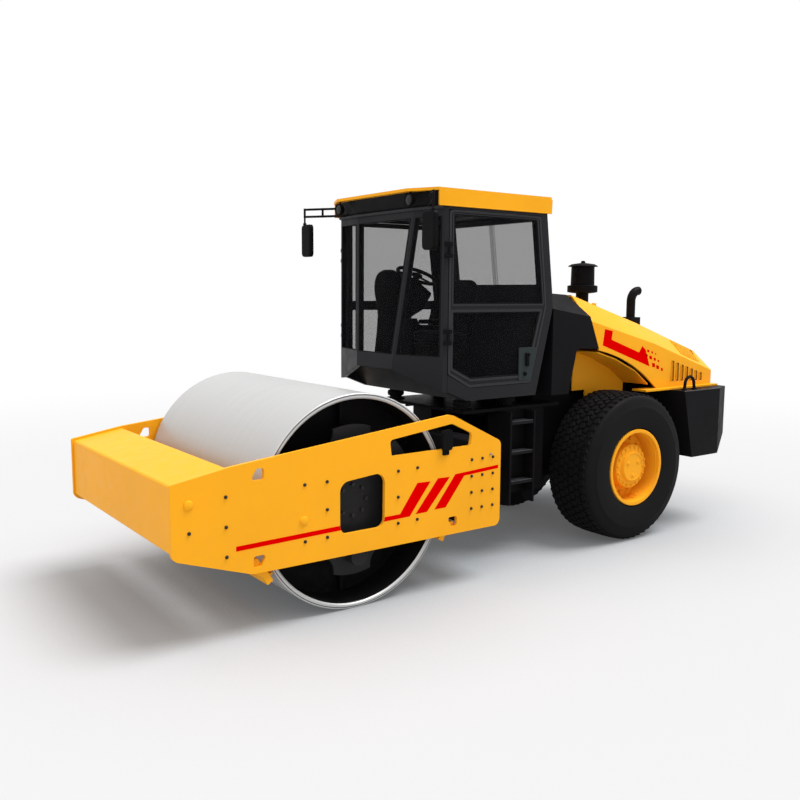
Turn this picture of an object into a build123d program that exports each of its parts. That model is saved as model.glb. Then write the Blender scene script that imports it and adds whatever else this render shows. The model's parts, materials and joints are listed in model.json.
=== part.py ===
"""Single-drum soil compactor: an articulated road roller with a closed cab.

+X points forward, to the drum, +Y to the machine's left and +Z up. The origin
is on the ground under the middle of the machine. Sizes are millimetres.
Places along X are told from three axles: the drum's, the steering pivot's and
the rear wheels'. Left pieces are modelled and mirrored to the right.
"""

from build123d import *
import math
import os

os.makedirs("parts", exist_ok=True)

# Driving dimensions -------------------------------------------------------
front_overhang = 1535.0         # drum axis to the front face
rear_overhang = 1645.0          # wheel axis to the rear face
pivot_back = 1750.0             # drum axis back to the steering pivot
pivot_ahead = 1570.0            # wheel axis ahead to the steering pivot
pivot_height = 800.0

drum_radius = 850.0
drum_side_gap = 34.0            # between the drum's end and the side plate
drum_wall = 45.0
head_depth = 294.0              # of each drum head's face inside the drum's end
head_thickness = 30.0
journal_radius = 90.0
hanger_depth = 99.0             # of the lobed hanger disc's inner face
hanger_thickness = 25.0

plate_outer = 1148.0            # outer face of each side plate
plate_thickness = 30.0
link_room = 310.0               # steering pivot to the front frame's rear edge
plate_low = 460.0
beam_inset = 15.0

tyre_radius = 745.0
tyre_half_width = 284.0
track_half = 839.0              # middle plane of each tyre
bead_radius = 365.0
flange_radius = 385.0
flange_inner = 238.0
flange_outer = 265.0
spindle_radius = 70.0

rail_inner = 400.0
rail_outer = 430.0
rail_low = 880.0
rail_high = 1340.0
neck_half = 150.0
cross_front = 900.0             # front face of the cross plate, from the wheels
deck_thickness = 30.0
deck_half = 640.0

cab_side = 815.0
cab_wall = 50.0
cab_low = 1521.0
cab_wall_low = 1780.0
cab_wall_high = 3190.0
header_rise = 130.0
roof_plate = 25.0
stud_rise = 15.0
roof_side = 829.0
roof_front = 2474.0
front_chamfer = 134.0           # the roof's front corners lie this far behind its front
roof_rear = 999.0
door_drop = 25.0                # the door's top below the wall's
door_gap = 5.0
door_thickness = 42.0
pane = 8.0

hood_side = 800.0
hood_ridge_half = 550.0
hood_sheet = 20.0
hood_rear = 1610.0              # wheel axis back to the hood's rear face

weight_side = 1050.0
weight_low = 735.0
weight_high = 1455.0
shelf_thickness = 20.0

pin_clearance = 0.5             # radial, at pins, rods and journals
seat_gap = 0.3                  # between pieces that rest on each other

# Places worked out from them ----------------------------------------------
wheelbase = pivot_back + pivot_ahead
overall_length = front_overhang + wheelbase + rear_overhang
drum_x = overall_length / 2 - front_overhang
wheel_x = drum_x - wheelbase
pivot_x = drum_x - pivot_back
plate_inner = plate_outer - plate_thickness
plate_rear = pivot_back - link_room
drum_half_width = plate_inner - drum_side_gap
head_face = drum_half_width - head_depth
hanger_face = drum_half_width - hanger_depth
shelf_top = weight_high + shelf_thickness
hood_low = shelf_top + seat_gap
deck_top = rail_high + 2 * deck_thickness
header_high = cab_wall_high + header_rise
roof_high = header_high + roof_plate
roof_corner = roof_front - front_chamfer
band_low = cab_wall_high + door_gap
station_y = -150.0              # middle of the operator's seat and wheel


def save(piece, label):
    piece.part.label = label
    export_step(piece.part, f"parts/{label}.step")


def save_pair(piece, stem):
    """Write the left piece and its mirror image on the right."""
    save(piece, f"{stem}_left")
    with BuildPart() as twin:
        mirror(piece.part, about=Plane.XZ)
    save(twin, f"{stem}_right")


def save_both(piece, label):
    """Write one node that holds the left piece and its mirror image."""
    with BuildPart() as both:
        add(piece.part)
        mirror(piece.part, about=Plane.XZ)
    save(both, label)


def side_plane(y):
    return Plane.XZ.offset(-y)


def shifted(origin_x, points):
    return [(origin_x + x, z) for x, z in points]


def across(points, y_low, y_high, radii=0, mode=Mode.ADD):
    """Run a side-view outline of (x, z) points from y_low to y_high."""
    with BuildSketch(side_plane(y_low)) as face:
        with BuildLine():
            FilletPolyline(*points, radius=radii, close=True)
        make_face()
    extrude(to_extrude=face.sketch, amount=y_low - y_high, mode=mode)


def upward(points, z_low, z_high, radii=0, mode=Mode.ADD):
    """Run a plan-view outline of (x, y) points from z_low to z_high."""
    with BuildSketch(Plane.XY.offset(z_low)) as face:
        with BuildLine():
            FilletPolyline(*points, radius=radii, close=True)
        make_face()
    extrude(to_extrude=face.sketch, amount=z_high - z_low, mode=mode)


def block(x, y, z, mode=Mode.ADD):
    """A box given by its (low, high) pair along each axis."""
    upward([(x[0], y[0]), (x[1], y[0]), (x[1], y[1]), (x[0], y[1])], z[0], z[1], 0, mode)


def rod(start, end, radius, mode=Mode.ADD):
    """A round bar from start to end."""
    run = Vector(*end) - Vector(*start)
    with BuildSketch(Plane(origin=start, z_dir=run)) as face:
        Circle(radius)
    extrude(to_extrude=face.sketch, amount=run.length, mode=mode)


def turned(origin, axis, profile, mode=Mode.ADD):
    """Turn a profile of (radius, distance along axis) points about an axis."""
    plane = Plane(origin=origin, x_dir=(axis[2], axis[0], axis[1]), z_dir=axis)
    section = Plane(origin=origin, x_dir=plane.x_dir, z_dir=-plane.y_dir)
    with BuildSketch(section) as face:
        with BuildLine():
            Polyline(*profile, close=True)
        make_face()
    revolve(profiles=face.sketch, axis=Axis(origin, axis), mode=mode)


def loft_between(lower, upper, z_low, z_high, mode=Mode.ADD):
    """Join two plan outlines of equal point counts with flat-sided walls."""
    with BuildSketch(Plane.XY.offset(z_low)) as low:
        with BuildLine():
            Polyline(*lower, close=True)
        make_face()
    with BuildSketch(Plane.XY.offset(z_high)) as high:
        with BuildLine():
            Polyline(*upper, close=True)
        make_face()
    loft(sections=[low.sketch, high.sketch], ruled=True, mode=mode)


# Front frame ---------------------------------------------------------------
plate_outline = shifted(drum_x, [
    (front_overhang, 660), (front_overhang, 1182), (1093, 1259), (-885, 1474),
    (-plate_rear, 1202), (-plate_rear, plate_low), (932, plate_low),
])
plate_radii = (70, 15, 200, 150, 60, 60, 150)
rear_window = shifted(drum_x, [
    (-265, 1318), (-896, 1397), (-1113, 1297), (-1095, 1194), (-282, 1188),
])
middle_window = shifted(drum_x, [(197, 630), (197, 1033), (-219, 1073), (-214, 632)])
# lashing holes: middle (x, z), then the side the point is on and which way up
lashing_holes = ((885, 1181, 1, 1), (874, 550, -1, -1), (-906, 570, 1, -1))


def lashing_outline(x, z, point, up):
    corners = ((58 * point, -40 * up), (-50 * point, -40 * up), (-50 * point, 44 * up),
               (8 * point, 44 * up))
    return [(drum_x + x + dx, z + dz) for dx, dz in corners]


with BuildPart() as side_plate:
    across(plate_outline, plate_inner, plate_outer, plate_radii)
    across(rear_window, plate_inner, plate_outer, (30, 70, 30, 20, 20), Mode.SUBTRACT)
    across(middle_window, plate_inner, plate_outer, (70, 85, 85, 70), Mode.SUBTRACT)
    for x, z, point, up in lashing_holes:
        across(lashing_outline(x, z, point, up), plate_inner, plate_outer, 20,
               Mode.SUBTRACT)
save_pair(side_plate, "side_plate")

front_face = front_overhang - beam_inset
with BuildPart() as front_beam:
    across(shifted(drum_x, [
        (front_face, 690), (front_face, 1166), (1093, 1241), (1075, 1225), (1075, 540),
    ]), -plate_inner, plate_inner, (20, 25, 20, 10, 20))
save(front_beam, "front_beam")

shaft_radius = 100.0
beam_rear = plate_rear - beam_inset
with BuildPart() as rear_beam:
    across(shifted(drum_x, [
        (-1130, 480), (-1130, 1230), (-1310, 1230), (-beam_rear, 1170), (-beam_rear, 480),
    ]), -plate_inner, plate_inner, (20, 20, 40, 40, 40))
    rod((drum_x - beam_rear, 0, pivot_height), (drum_x - beam_rear + 260, 0, pivot_height),
        shaft_radius + pin_clearance, Mode.SUBTRACT)
save(rear_beam, "rear_beam")

lobe_count = 6
buffer_circle = 430.0
with BuildPart() as hanger:
    with BuildSketch(side_plane(hanger_face)) as disc:
        with Locations((drum_x, drum_radius)):
            Circle(600)
            with PolarLocations(640, lobe_count):
                Circle(150, mode=Mode.SUBTRACT)
    extrude(to_extrude=disc.sketch, amount=-hanger_thickness)
    rod((drum_x, hanger_face - 80, drum_radius),
        (drum_x, hanger_face + hanger_thickness, drum_radius), 170)
    rod((drum_x, hanger_face - 80, drum_radius), (drum_x, hanger_face + 12, drum_radius),
        journal_radius + pin_clearance, Mode.SUBTRACT)
    with BuildSketch(side_plane(hanger_face + hanger_thickness)) as buffers:
        with Locations((drum_x, drum_radius)):
            with PolarLocations(buffer_circle, lobe_count, start_angle=30):
                Circle(75)
    extrude(to_extrude=buffers.sketch,
            amount=hanger_face + hanger_thickness - plate_inner)
save_both(hanger, "drum_hangers")

scraper_gap = 8.0
bracket_reach = drum_radius + 90


def around_drum(radius, angle):
    turn = math.radians(angle)
    return (drum_x + radius * math.cos(turn), drum_radius + radius * math.sin(turn))


# each scraper: name, blade angle below the front or rear, sign of its side
for name, angle, side in (("scraper_front", -30.0, 1), ("scraper_rear", -154.0, -1)):
    bar_low = drum_radius + 42
    bar_high = drum_radius + 95
    low = angle - 2.2 * side
    high = angle + 2.2 * side
    with BuildPart() as scraper:
        across([around_drum(bar_low, low), around_drum(bar_low, high),
                around_drum(bar_high, high), around_drum(bar_high, low)],
               -plate_inner, plate_inner)
        across([around_drum(drum_radius + scraper_gap, angle - 0.5),
                around_drum(drum_radius + scraper_gap, angle + 0.5),
                around_drum(bar_low, angle + 0.5), around_drum(bar_low, angle - 0.5)],
               -drum_half_width, drum_half_width)
        for inner, outer in ((plate_inner - 58, plate_inner),
                             (-plate_inner, 58 - plate_inner)):
            across([around_drum(bar_low, high), around_drum(bar_high, low),
                    around_drum(bar_high, high), (drum_x + bracket_reach * side, 470),
                    (drum_x + bracket_reach * side, 560),
                    (drum_x + (bracket_reach - 60) * side, 560)],
                   inner, outer)
    save(scraper, name)

with BuildPart() as clamp:
    across(shifted(drum_x, [(-774, 1190), (-774, 1345), (-876, 1362), (-876, 1182)]),
           plate_outer, plate_outer + 34, 28)
    across(shifted(drum_x, [(-792, 1142), (-792, 1205), (-856, 1205), (-856, 1142)]),
           plate_outer, plate_outer + 12, 8)
save_both(clamp, "hose_clamps")

# Drum ------------------------------------------------------------------------
drum_bore = drum_radius - drum_wall
with BuildPart() as drum_shell:
    turned((drum_x, 0, drum_radius), (0, 1, 0), [
        (drum_bore, 0), (drum_bore, drum_half_width - 12), (drum_bore + 12, drum_half_width),
        (drum_radius - 5, drum_half_width), (drum_radius, drum_half_width - 5),
        (drum_radius, 0)])
    mirror(about=Plane.XZ)
save(drum_shell, "drum_shell")

rib_count = 6
with BuildPart() as drum_head:
    turned((drum_x, 0, drum_radius), (0, 1, 0), [
        (0, head_face - head_thickness), (drum_bore, head_face - head_thickness),
        (drum_bore, head_face), (210, head_face), (190, head_face + 85), (journal_radius,
        head_face + 85), (journal_radius, hanger_face), (0, hanger_face)])
    with BuildSketch(side_plane(head_face)) as ribs:
        with Locations((drum_x, drum_radius)):
            with PolarLocations((200 + drum_bore - 25) / 2, rib_count, start_angle=30):
                Rectangle(drum_bore - 25 - 200, 24)
    extrude(to_extrude=ribs.sketch, amount=-60)
save_both(drum_head, "drum_heads")

# Centre joint ------------------------------------------------------------------
pin_radius = 60.0
link_half_height = 150.0
ear_gap = 20.0
ear_thickness = 40.0
lug_forward = 90.0              # steering cylinder's eye, ahead of the pivot
lug_out = 212.0                 # and out from it
fork_gap = 70.0
fork_plate = 25.0
fork_pin = 25.0
link_low = pivot_height - link_half_height
link_high = pivot_height + link_half_height
ear_top = link_high + ear_gap + ear_thickness
ear_bottom = link_low - ear_gap - ear_thickness
fork_levels = (pivot_height - fork_gap / 2 - fork_plate, pivot_height + fork_gap / 2)

with BuildPart() as link:
    with BuildSketch(Plane.XY.offset(link_low)) as core:
        with Locations((pivot_x, 0)):
            Circle(118)
        with Locations((pivot_x + 85, 0)):
            Rectangle(170, 260)
    extrude(to_extrude=core.sketch, amount=2 * link_half_height)
    rod((pivot_x + 165, 0, pivot_height), (pivot_x + 245, 0, pivot_height), 140)
    rod((pivot_x + 245, 0, pivot_height), (pivot_x + 295, 0, pivot_height), 185)
    rod((pivot_x + 290, 0, pivot_height),
        (drum_x - beam_rear + 240, 0, pivot_height), shaft_radius)
    for level in fork_levels:
        with BuildSketch(Plane.XY.offset(level)) as fork:
            with Locations((pivot_x + lug_forward, lug_out),
                           (pivot_x + lug_forward, -lug_out)):
                Circle(62)
            with Locations((pivot_x + lug_forward - 5, 0)):
                Rectangle(130, 2 * lug_out)
        extrude(to_extrude=fork.sketch, amount=fork_plate)
    for side in (1, -1):
        rod((pivot_x + lug_forward, side * lug_out, fork_levels[1] + fork_plate),
            (pivot_x + lug_forward, side * lug_out, fork_levels[1] + fork_plate + 14), 34)
        rod((pivot_x + lug_forward, side * lug_out, fork_levels[0] - 14),
            (pivot_x + lug_forward, side * lug_out, fork_levels[0]), 34)
    for low, high in ((link_high - 110, link_high), (link_low, link_low + 110)):
        rod((pivot_x, 0, low), (pivot_x, 0, high), pin_radius + pin_clearance,
            Mode.SUBTRACT)
save(link, "centre_link")

with BuildPart() as pivot_pins:
    rod((pivot_x, 0, link_high - 100), (pivot_x, 0, ear_top), pin_radius)
    rod((pivot_x, 0, ear_top), (pivot_x, 0, ear_top + 25), pin_radius + 28)
    rod((pivot_x, 0, ear_bottom), (pivot_x, 0, link_low + 100), pin_radius)
    rod((pivot_x, 0, ear_bottom - 25), (pivot_x, 0, ear_bottom), pin_radius + 28)
save(pivot_pins, "pivot_pins")

# Steering cylinders --------------------------------------------------------------
anchor_x = wheel_x + cross_front + 70
anchor_y = 330.0
eye_x = pivot_x + lug_forward
barrel_radius = 48.0
rod_radius = 27.0
barrel_start = 75.0             # from the rear pin to the barrel's closed end
gland_back = 230.0              # from the rod's eye to the barrel's gland
rod_length = 440.0              # of the rod behind its eye
stroke_x = eye_x - anchor_x
stroke_y = lug_out - anchor_y
cylinder_length = math.hypot(stroke_x, stroke_y)
barrel_end = cylinder_length - gland_back
along = (stroke_x / cylinder_length, stroke_y / cylinder_length)


def on_cylinder(distance):
    return (anchor_x + along[0] * distance, anchor_y + along[1] * distance, pivot_height)


with BuildPart() as barrel:
    rod((anchor_x, anchor_y, pivot_height - 30), (anchor_x, anchor_y, pivot_height + 30), 50)
    rod(on_cylinder(20), on_cylinder(barrel_start), 28)
    rod(on_cylinder(barrel_start), on_cylinder(barrel_end), barrel_radius)
    rod(on_cylinder(barrel_end), on_cylinder(barrel_end + 20), rod_radius + 3)
    rod(on_cylinder(barrel_start + 20), on_cylinder(barrel_end + 20),
        rod_radius + pin_clearance, Mode.SUBTRACT)
    rod((anchor_x, anchor_y, pivot_height - 30), (anchor_x, anchor_y, pivot_height + 30),
        fork_pin + pin_clearance, Mode.SUBTRACT)
save_pair(barrel, "steering_barrel")

with BuildPart() as piston_rod:
    rod((eye_x, lug_out, pivot_height - 25), (eye_x, lug_out, pivot_height + 25), 45)
    rod(on_cylinder(cylinder_length - rod_length), on_cylinder(cylinder_length - 20),
        rod_radius)
save_pair(piston_rod, "steering_rod")

# Rear frame --------------------------------------------------------------------
neck_front = pivot_x - 170
weight_front = wheel_x - 972
with BuildPart() as rear_frame:
    block((wheel_x + cross_front, neck_front), (-neck_half, neck_half),
          (ear_bottom, ear_top))
    for level in (ear_bottom, ear_top - ear_thickness):
        with BuildSketch(Plane.XY.offset(level)) as ear:
            with Locations((pivot_x, 0)):
                Circle(125)
            with BuildLine():
                Polyline((neck_front, -neck_half), (pivot_x, -124), (pivot_x, 124),
                         (neck_front, neck_half), close=True)
            make_face()
            with Locations((pivot_x, 0)):
                Circle(pin_radius + seat_gap, mode=Mode.SUBTRACT)
        extrude(to_extrude=ear.sketch, amount=ear_thickness)
    block((wheel_x + cross_front - 40, wheel_x + cross_front), (-rail_outer, rail_outer),
          (ear_bottom, rail_high))
    for side in (1, -1):
        rail = sorted((side * rail_inner, side * rail_outer))
        across(shifted(wheel_x, [
            (cross_front - 40, 620), (cross_front - 40, rail_high),
            (weight_front - wheel_x, rail_high), (weight_front - wheel_x, rail_low),
            (320, rail_low), (480, 620)]), rail[0], rail[1])
        bracket = sorted((side * (anchor_y - 62), side * (anchor_y + 62)))
        for level in fork_levels:
            block((wheel_x + cross_front, anchor_x + 45), bracket,
                  (level, level + fork_plate))
        rod((anchor_x, side * anchor_y, fork_levels[0]),
            (anchor_x, side * anchor_y, fork_levels[1] + fork_plate), fork_pin)
    block((wheel_x - 900, wheel_x - 860), (-rail_inner, rail_inner), (rail_low, rail_high))
save(rear_frame, "rear_frame")

deck_front = wheel_x + 1880
deck_rear = wheel_x + 640
with BuildPart() as deck:
    block((deck_rear, deck_front), (-deck_half, deck_half), (deck_top - deck_thickness,
          deck_top))
    block((deck_rear + 20, wheel_x + cross_front), (-rail_outer, rail_outer),
          (rail_high, deck_top - deck_thickness))
    for side in (1, -1):
        rib = sorted((side * 300, side * 330))
        across([(wheel_x + cross_front, 1090), (wheel_x + cross_front, rail_high + 1),
                (deck_front - 60, deck_top - deck_thickness),
                (wheel_x + 1250, 1250)], rib[0], rib[1])
        block((wheel_x + cross_front - 1, deck_front - 60), rib,
              (rail_high, deck_top - deck_thickness))
save(deck, "deck")

tank_outer = 620.0
tank_low = 560.0
with BuildPart() as tank:
    across(shifted(wheel_x, [
        (1400, tank_low + 60), (1400, deck_top - deck_thickness),
        (835, deck_top - deck_thickness), (835, tank_low), (1330, tank_low)]),
        440, tank_outer, (30, 1, 1, 40, 40))
save_both(tank, "side_tanks")

step_front = wheel_x + 1400
step_rear = wheel_x + 1075
step_out = 755.0
stringer = 22.0
tread_levels = (1272.0, 986.0, 702.0)
with BuildPart() as steps:
    for low, high in ((step_front - stringer, step_front), (step_rear, step_rear + stringer)):
        upward([(low, tank_outer), (high, tank_outer), (high, step_out), (low, step_out)],
               480, deck_top - 40)
save_both(steps, "step_frames")

with BuildPart() as treads:
    for level in tread_levels:
        block((step_rear + stringer, step_front - stringer), (tank_outer, step_out - 6),
              (level - 28, level))
save_both(treads, "step_treads")

mount_places = [(wheel_x + x, y) for x in (1800, 1240) for y in (-520, 520)]
with BuildPart() as cab_mounts:
    for x, y in mount_places:
        rod((x, y, deck_top), (x, y, cab_low), 62)
save(cab_mounts, "cab_mounts")

with BuildPart() as axle:
    turned((wheel_x, 0, tyre_radius), (0, 1, 0), [
        (0, 0), (195, 0), (180, 90), (110, 170), (100, 380), (130, 400), (130, 470),
        (spindle_radius, 480), (spindle_radius, track_half + 130), (0, track_half + 130)])
    mirror(about=Plane.XZ)
    for side in (1, -1):
        pad = sorted((side * rail_inner, side * rail_outer))
        block((wheel_x - 110, wheel_x + 110), pad, (tyre_radius + 60, rail_low))
save(axle, "rear_axle")

with BuildPart() as engine:
    block((wheel_x - 760, wheel_x + 200), (-320, 320), (1000, 1760))
    for side in (1, -1):
        foot = sorted((side * 320, side * rail_inner))
        for x in (-620, 60):
            block((wheel_x + x - 60, wheel_x + x + 60), foot, (1060, 1110))
save(engine, "engine_block")

# Wheels ------------------------------------------------------------------------
with BuildPart() as tyre:
    turned((wheel_x, track_half, tyre_radius), (0, 1, 0), [
        (bead_radius, -flange_inner), (flange_radius + 5, -flange_inner),
        (flange_radius + 12, -flange_outer), (480, -tyre_half_width + 8),
        (560, -tyre_half_width), (640, -tyre_half_width + 8), (705, -255), (735, -215),
        (tyre_radius, -140), (tyre_radius, 140), (735, 215), (705, 255),
        (640, tyre_half_width - 8), (560, tyre_half_width), (480, tyre_half_width - 8),
        (flange_radius + 12, flange_outer), (flange_radius + 5, flange_inner),
        (bead_radius, flange_inner)])
save_pair(tyre, "tyre")

hub_radius = 228.0
with BuildPart() as rim:
    turned((wheel_x, track_half, tyre_radius), (0, 1, 0), [
        (345, -flange_outer), (flange_radius, -flange_outer), (flange_radius, -flange_inner),
        (bead_radius, -flange_inner), (bead_radius, flange_inner),
        (flange_radius, flange_inner), (flange_radius, flange_outer), (352, flange_outer),
        (345, 200), (345, 60), (hub_radius, 60), (hub_radius - 8, 190), (160, 200),
        (150, 222), (0, 222), (0, 140), (spindle_radius + pin_clearance, 140),
        (spindle_radius + pin_clearance, -120), (190, -120), (190, 30), (345, 30)])
save_pair(rim, "rim")

# Counterweight --------------------------------------------------------------------
with BuildPart() as counterweight:
    upward([(wheel_x - 806, -weight_side), (wheel_x - 806, weight_side),
            (wheel_x - 1425, weight_side), (wheel_x - rear_overhang, 965),
            (wheel_x - rear_overhang, -965), (wheel_x - 1425, -weight_side)],
           weight_low, weight_high)
    across(shifted(wheel_x, [(-780, weight_high), (-806, weight_high),
                             (-975, weight_low), (-780, weight_low)]),
           -1100, 1100, 0, Mode.SUBTRACT)
    across(shifted(wheel_x, [(-rear_overhang - 10, 930), (-rear_overhang, 930),
                             (-1440, weight_low), (-rear_overhang - 10, weight_low)]),
           -1100, 1100, 0, Mode.SUBTRACT)
    block((weight_front, wheel_x - 780), (-rail_outer - 20, rail_outer + 20),
          (weight_low, weight_high), Mode.SUBTRACT)
save(counterweight, "counterweight")

# the hood turns about two hinges behind its rear face
hinge_height = shelf_top + 17
hinge_back = hood_rear + 15
hinge_places = (-430.0, 430.0)
knuckle_radius = 15.0
shelf_side = 870.0
shelf_outline = [(-400, 690), (-400, shelf_side), (-rear_overhang, shelf_side)]
with BuildPart() as shelf:
    upward(shifted(wheel_x, shelf_outline)
           + [(x, -y) for x, y in reversed(shifted(wheel_x, shelf_outline))],
           weight_high, shelf_top)
    block((wheel_x - hood_rear + 120, wheel_x - 380), (-690, 690), (weight_high, shelf_top),
          Mode.SUBTRACT)
    for y in hinge_places:
        for low, high in ((y - 65, y - 35), (y + 35, y + 65)):
            across(shifted(wheel_x, [
                (8 - hinge_back, shelf_top - 1), (8 - hinge_back, hinge_height + 12),
                (-18 - hinge_back, hinge_height + 12), (-18 - hinge_back, shelf_top - 1)]),
                low, high)
        rod((wheel_x - hinge_back, y - 60, hinge_height),
            (wheel_x - hinge_back, y + 60, hinge_height), 8)
save(shelf, "rear_shelf")

lug_middle = wheel_x - 990
lug_foot = weight_high + seat_gap
with BuildPart() as lifting_lug:
    across([(lug_middle - 132, lug_foot), (lug_middle + 132, lug_foot),
            (lug_middle + 62, weight_high + 160), (lug_middle - 62, weight_high + 160)],
           950, 990, (5, 5, 58, 58))
    rod((lug_middle, 940, weight_high + 92), (lug_middle, 1000, weight_high + 92), 38,
        Mode.SUBTRACT)
save_both(lifting_lug, "lifting_lugs")

# Engine hood -------------------------------------------------------------------------
# sections: x from the wheel axis, height of the shoulder, height of the ridge
hood_sections = ((420.0, 2206.0, 2452.0), (-622.0, 1941.0, 2148.0),
                 (-hood_rear, 1623.0, 1828.0))


def hood_ring(x, shoulder, ridge, low, inset):
    """Cross-section of the hood, drawn in on every side by inset."""
    side = hood_side - inset
    top = hood_ridge_half - inset * 0.4
    points = [(-side, low), (-side, shoulder - inset * 0.4), (-top, ridge - inset),
              (top, ridge - inset), (side, shoulder - inset * 0.4), (side, low)]
    with BuildSketch(Plane.YZ.offset(wheel_x + x)) as ring:
        with BuildLine():
            Polyline(*points, close=True)
        make_face()
    return ring.sketch


def hood_top(x):
    """Height of the hood's top at x from the wheel axis, behind the middle."""
    (x0, _, z0), (x1, _, z1) = hood_sections[1:] if x < hood_sections[1][0] \
        else hood_sections[:2]
    return z0 + (z1 - z0) * (x - x0) / (x1 - x0)


split_low = (262.0, 1917.0)      # the hood's front edge leans from here
split_high = (502.0, 2480.0)     # to here
hood_gap = 8.0
slot_count = 7
with BuildPart() as hood:
    loft(sections=[hood_ring(*s, hood_low, 0) for s in hood_sections], ruled=True)
    inner = [hood_ring(*hood_sections[0], hood_low - 5, hood_sheet),
             hood_ring(*hood_sections[1], hood_low - 5, hood_sheet),
             hood_ring(hood_sheet - hood_rear, hood_sections[2][1] + 6,
                       hood_sections[2][2] + 6, hood_low - 5, hood_sheet)]
    loft(sections=inner, ruled=True, mode=Mode.SUBTRACT)
    # the front edge leans forward to its top
    across(shifted(wheel_x, [(split_low[0], 1400), split_low, split_high, (600, 2480),
                             (600, 1400)]), -900, 900, 0, Mode.SUBTRACT)
    # wheel arches
    with BuildSketch(side_plane(-900)) as arch:
        with BuildLine():
            Line((wheel_x + 290, 1400), (wheel_x + 290, 1910))
            Line((wheel_x + 290, 1910), (wheel_x + 252, 1904))
            ThreePointArc((wheel_x + 252, 1904), (wheel_x - 250, 1738),
                          (wheel_x - 654, hood_low))
            Line((wheel_x - 654, hood_low), (wheel_x - 654, 1400))
            Line((wheel_x - 654, 1400), (wheel_x + 290, 1400))
        make_face()
    extrude(to_extrude=arch.sketch, amount=-1800, mode=Mode.SUBTRACT)
    for i in range(slot_count):
        x = wheel_x - 920 - 83 * i
        top = 1754 - 24.5 * i
        across([(x - 14, 1546 - 2.8 * i), (x + 14, 1546 - 2.8 * i), (x + 14, top + 4),
                (x - 14, top - 4)], -900, 900, 0, Mode.SUBTRACT)
    for y in hinge_places:
        rod((wheel_x - hinge_back, y - 30, hinge_height),
            (wheel_x - hinge_back, y + 30, hinge_height), knuckle_radius)
        block((wheel_x - hinge_back, wheel_x - hood_rear + 2), (y - 30, y + 30),
              (hinge_height, hinge_height + knuckle_radius))
        rod((wheel_x - hinge_back, y - 30, hinge_height),
            (wheel_x - hinge_back, y + 30, hinge_height), 8 + pin_clearance, Mode.SUBTRACT)
save(hood, "hood")

cleaner_x = -71.0
cleaner_y = 250.0
with BuildPart() as cleaner:
    turned((wheel_x + cleaner_x, cleaner_y, 0), (0, 0, 1), [
        (0, 2200), (66, 2200), (66, 2468), (122, 2474), (157, 2482), (157, 2548),
        (124, 2556), (120, 2745), (153, 2748), (153, 2756), (118, 2774), (24, 2788),
        (20, 2806), (0, 2812)])
    across([(wheel_x + cleaner_x + 300, 1900), (wheel_x + cleaner_x - 300, 1900),
            (wheel_x + cleaner_x - 300, hood_top(cleaner_x - 300) + seat_gap),
            (wheel_x + cleaner_x + 300, hood_top(cleaner_x + 300) + seat_gap)],
           cleaner_y - 300, cleaner_y + 300, 0, Mode.SUBTRACT)
save(cleaner, "pre_cleaner")

exhaust_x = -866.0
exhaust_y = 250.0
pipe_radius = 48.0
pipe_wall = 4.0
pipe_box = 76.0
with BuildPart() as exhaust:
    across([(wheel_x + exhaust_x + pipe_box, hood_top(exhaust_x + pipe_box) + seat_gap),
            (wheel_x + exhaust_x + pipe_box, 2210), (wheel_x + exhaust_x - pipe_box, 2210),
            (wheel_x + exhaust_x - pipe_box, hood_top(exhaust_x - pipe_box) + seat_gap)],
           exhaust_y - pipe_box, exhaust_y + pipe_box)
    with BuildLine() as pipe_path:
        Line((wheel_x + exhaust_x, exhaust_y, 2180), (wheel_x + exhaust_x, exhaust_y, 2390))
        ThreePointArc((wheel_x + exhaust_x, exhaust_y, 2390),
                      (wheel_x + exhaust_x - 35, exhaust_y, 2468),
                      (wheel_x + exhaust_x - 118, exhaust_y, 2500))
    with BuildSketch(Plane.XY.offset(2180)) as pipe_end:
        with Locations((wheel_x + exhaust_x, exhaust_y)):
            Circle(pipe_radius)
    sweep(sections=pipe_end.sketch, path=pipe_path.line)
    rod((wheel_x + exhaust_x - 119, exhaust_y, 2500), (wheel_x + exhaust_x - 79, exhaust_y, 2500),
        pipe_radius - pipe_wall, Mode.SUBTRACT)
save(exhaust, "exhaust")

# Cowl between the cab and the hood -------------------------------------------------
with BuildPart() as cowl:
    with BuildSketch(Plane.YZ.offset(wheel_x + 925)) as cowl_front:
        with BuildLine():
            Polyline((-805, 1500), (-805, 2322), (-560, 2480), (560, 2480), (805, 2322),
                     (805, 1500), close=True)
        make_face()
    with BuildSketch(Plane.YZ.offset(wheel_x + 250)) as cowl_rear:
        with BuildLine():
            Polyline((-805, 1500), (-805, 2218), (-560, 2440), (560, 2440), (805, 2218),
                     (805, 1500), close=True)
        make_face()
    loft(sections=[cowl_front.sketch, cowl_rear.sketch], ruled=True)
    across(shifted(wheel_x, [(split_low[0] + hood_gap, 1400),
                             (split_low[0] + hood_gap, split_low[1]),
                             (split_high[0] + hood_gap, split_high[1]),
                             (split_high[0] + hood_gap + 17, 2520),
                             (150, 2520), (150, 1400)]), -900, 900, 0, Mode.SUBTRACT)
    across(shifted(wheel_x, [(200, 1400), (200, 1925), (585, 1935), (690, 1500),
                             (690, 1400)]), -900, 900, (1, 1, 60, 1, 1), Mode.SUBTRACT)
    core_rear = wheel_x + split_low[0] + hood_gap
    block((core_rear, wheel_x + 800), (-rail_outer, rail_outer), (deck_top, 2000))
    block((core_rear, deck_rear - 2), (-rail_outer, rail_outer), (rail_high, deck_top))
    block((core_rear - 1, wheel_x + 770), (-rail_inner, rail_inner), (deck_top + 20, 1980),
          Mode.SUBTRACT)
save(cowl, "rear_cowl")

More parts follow.
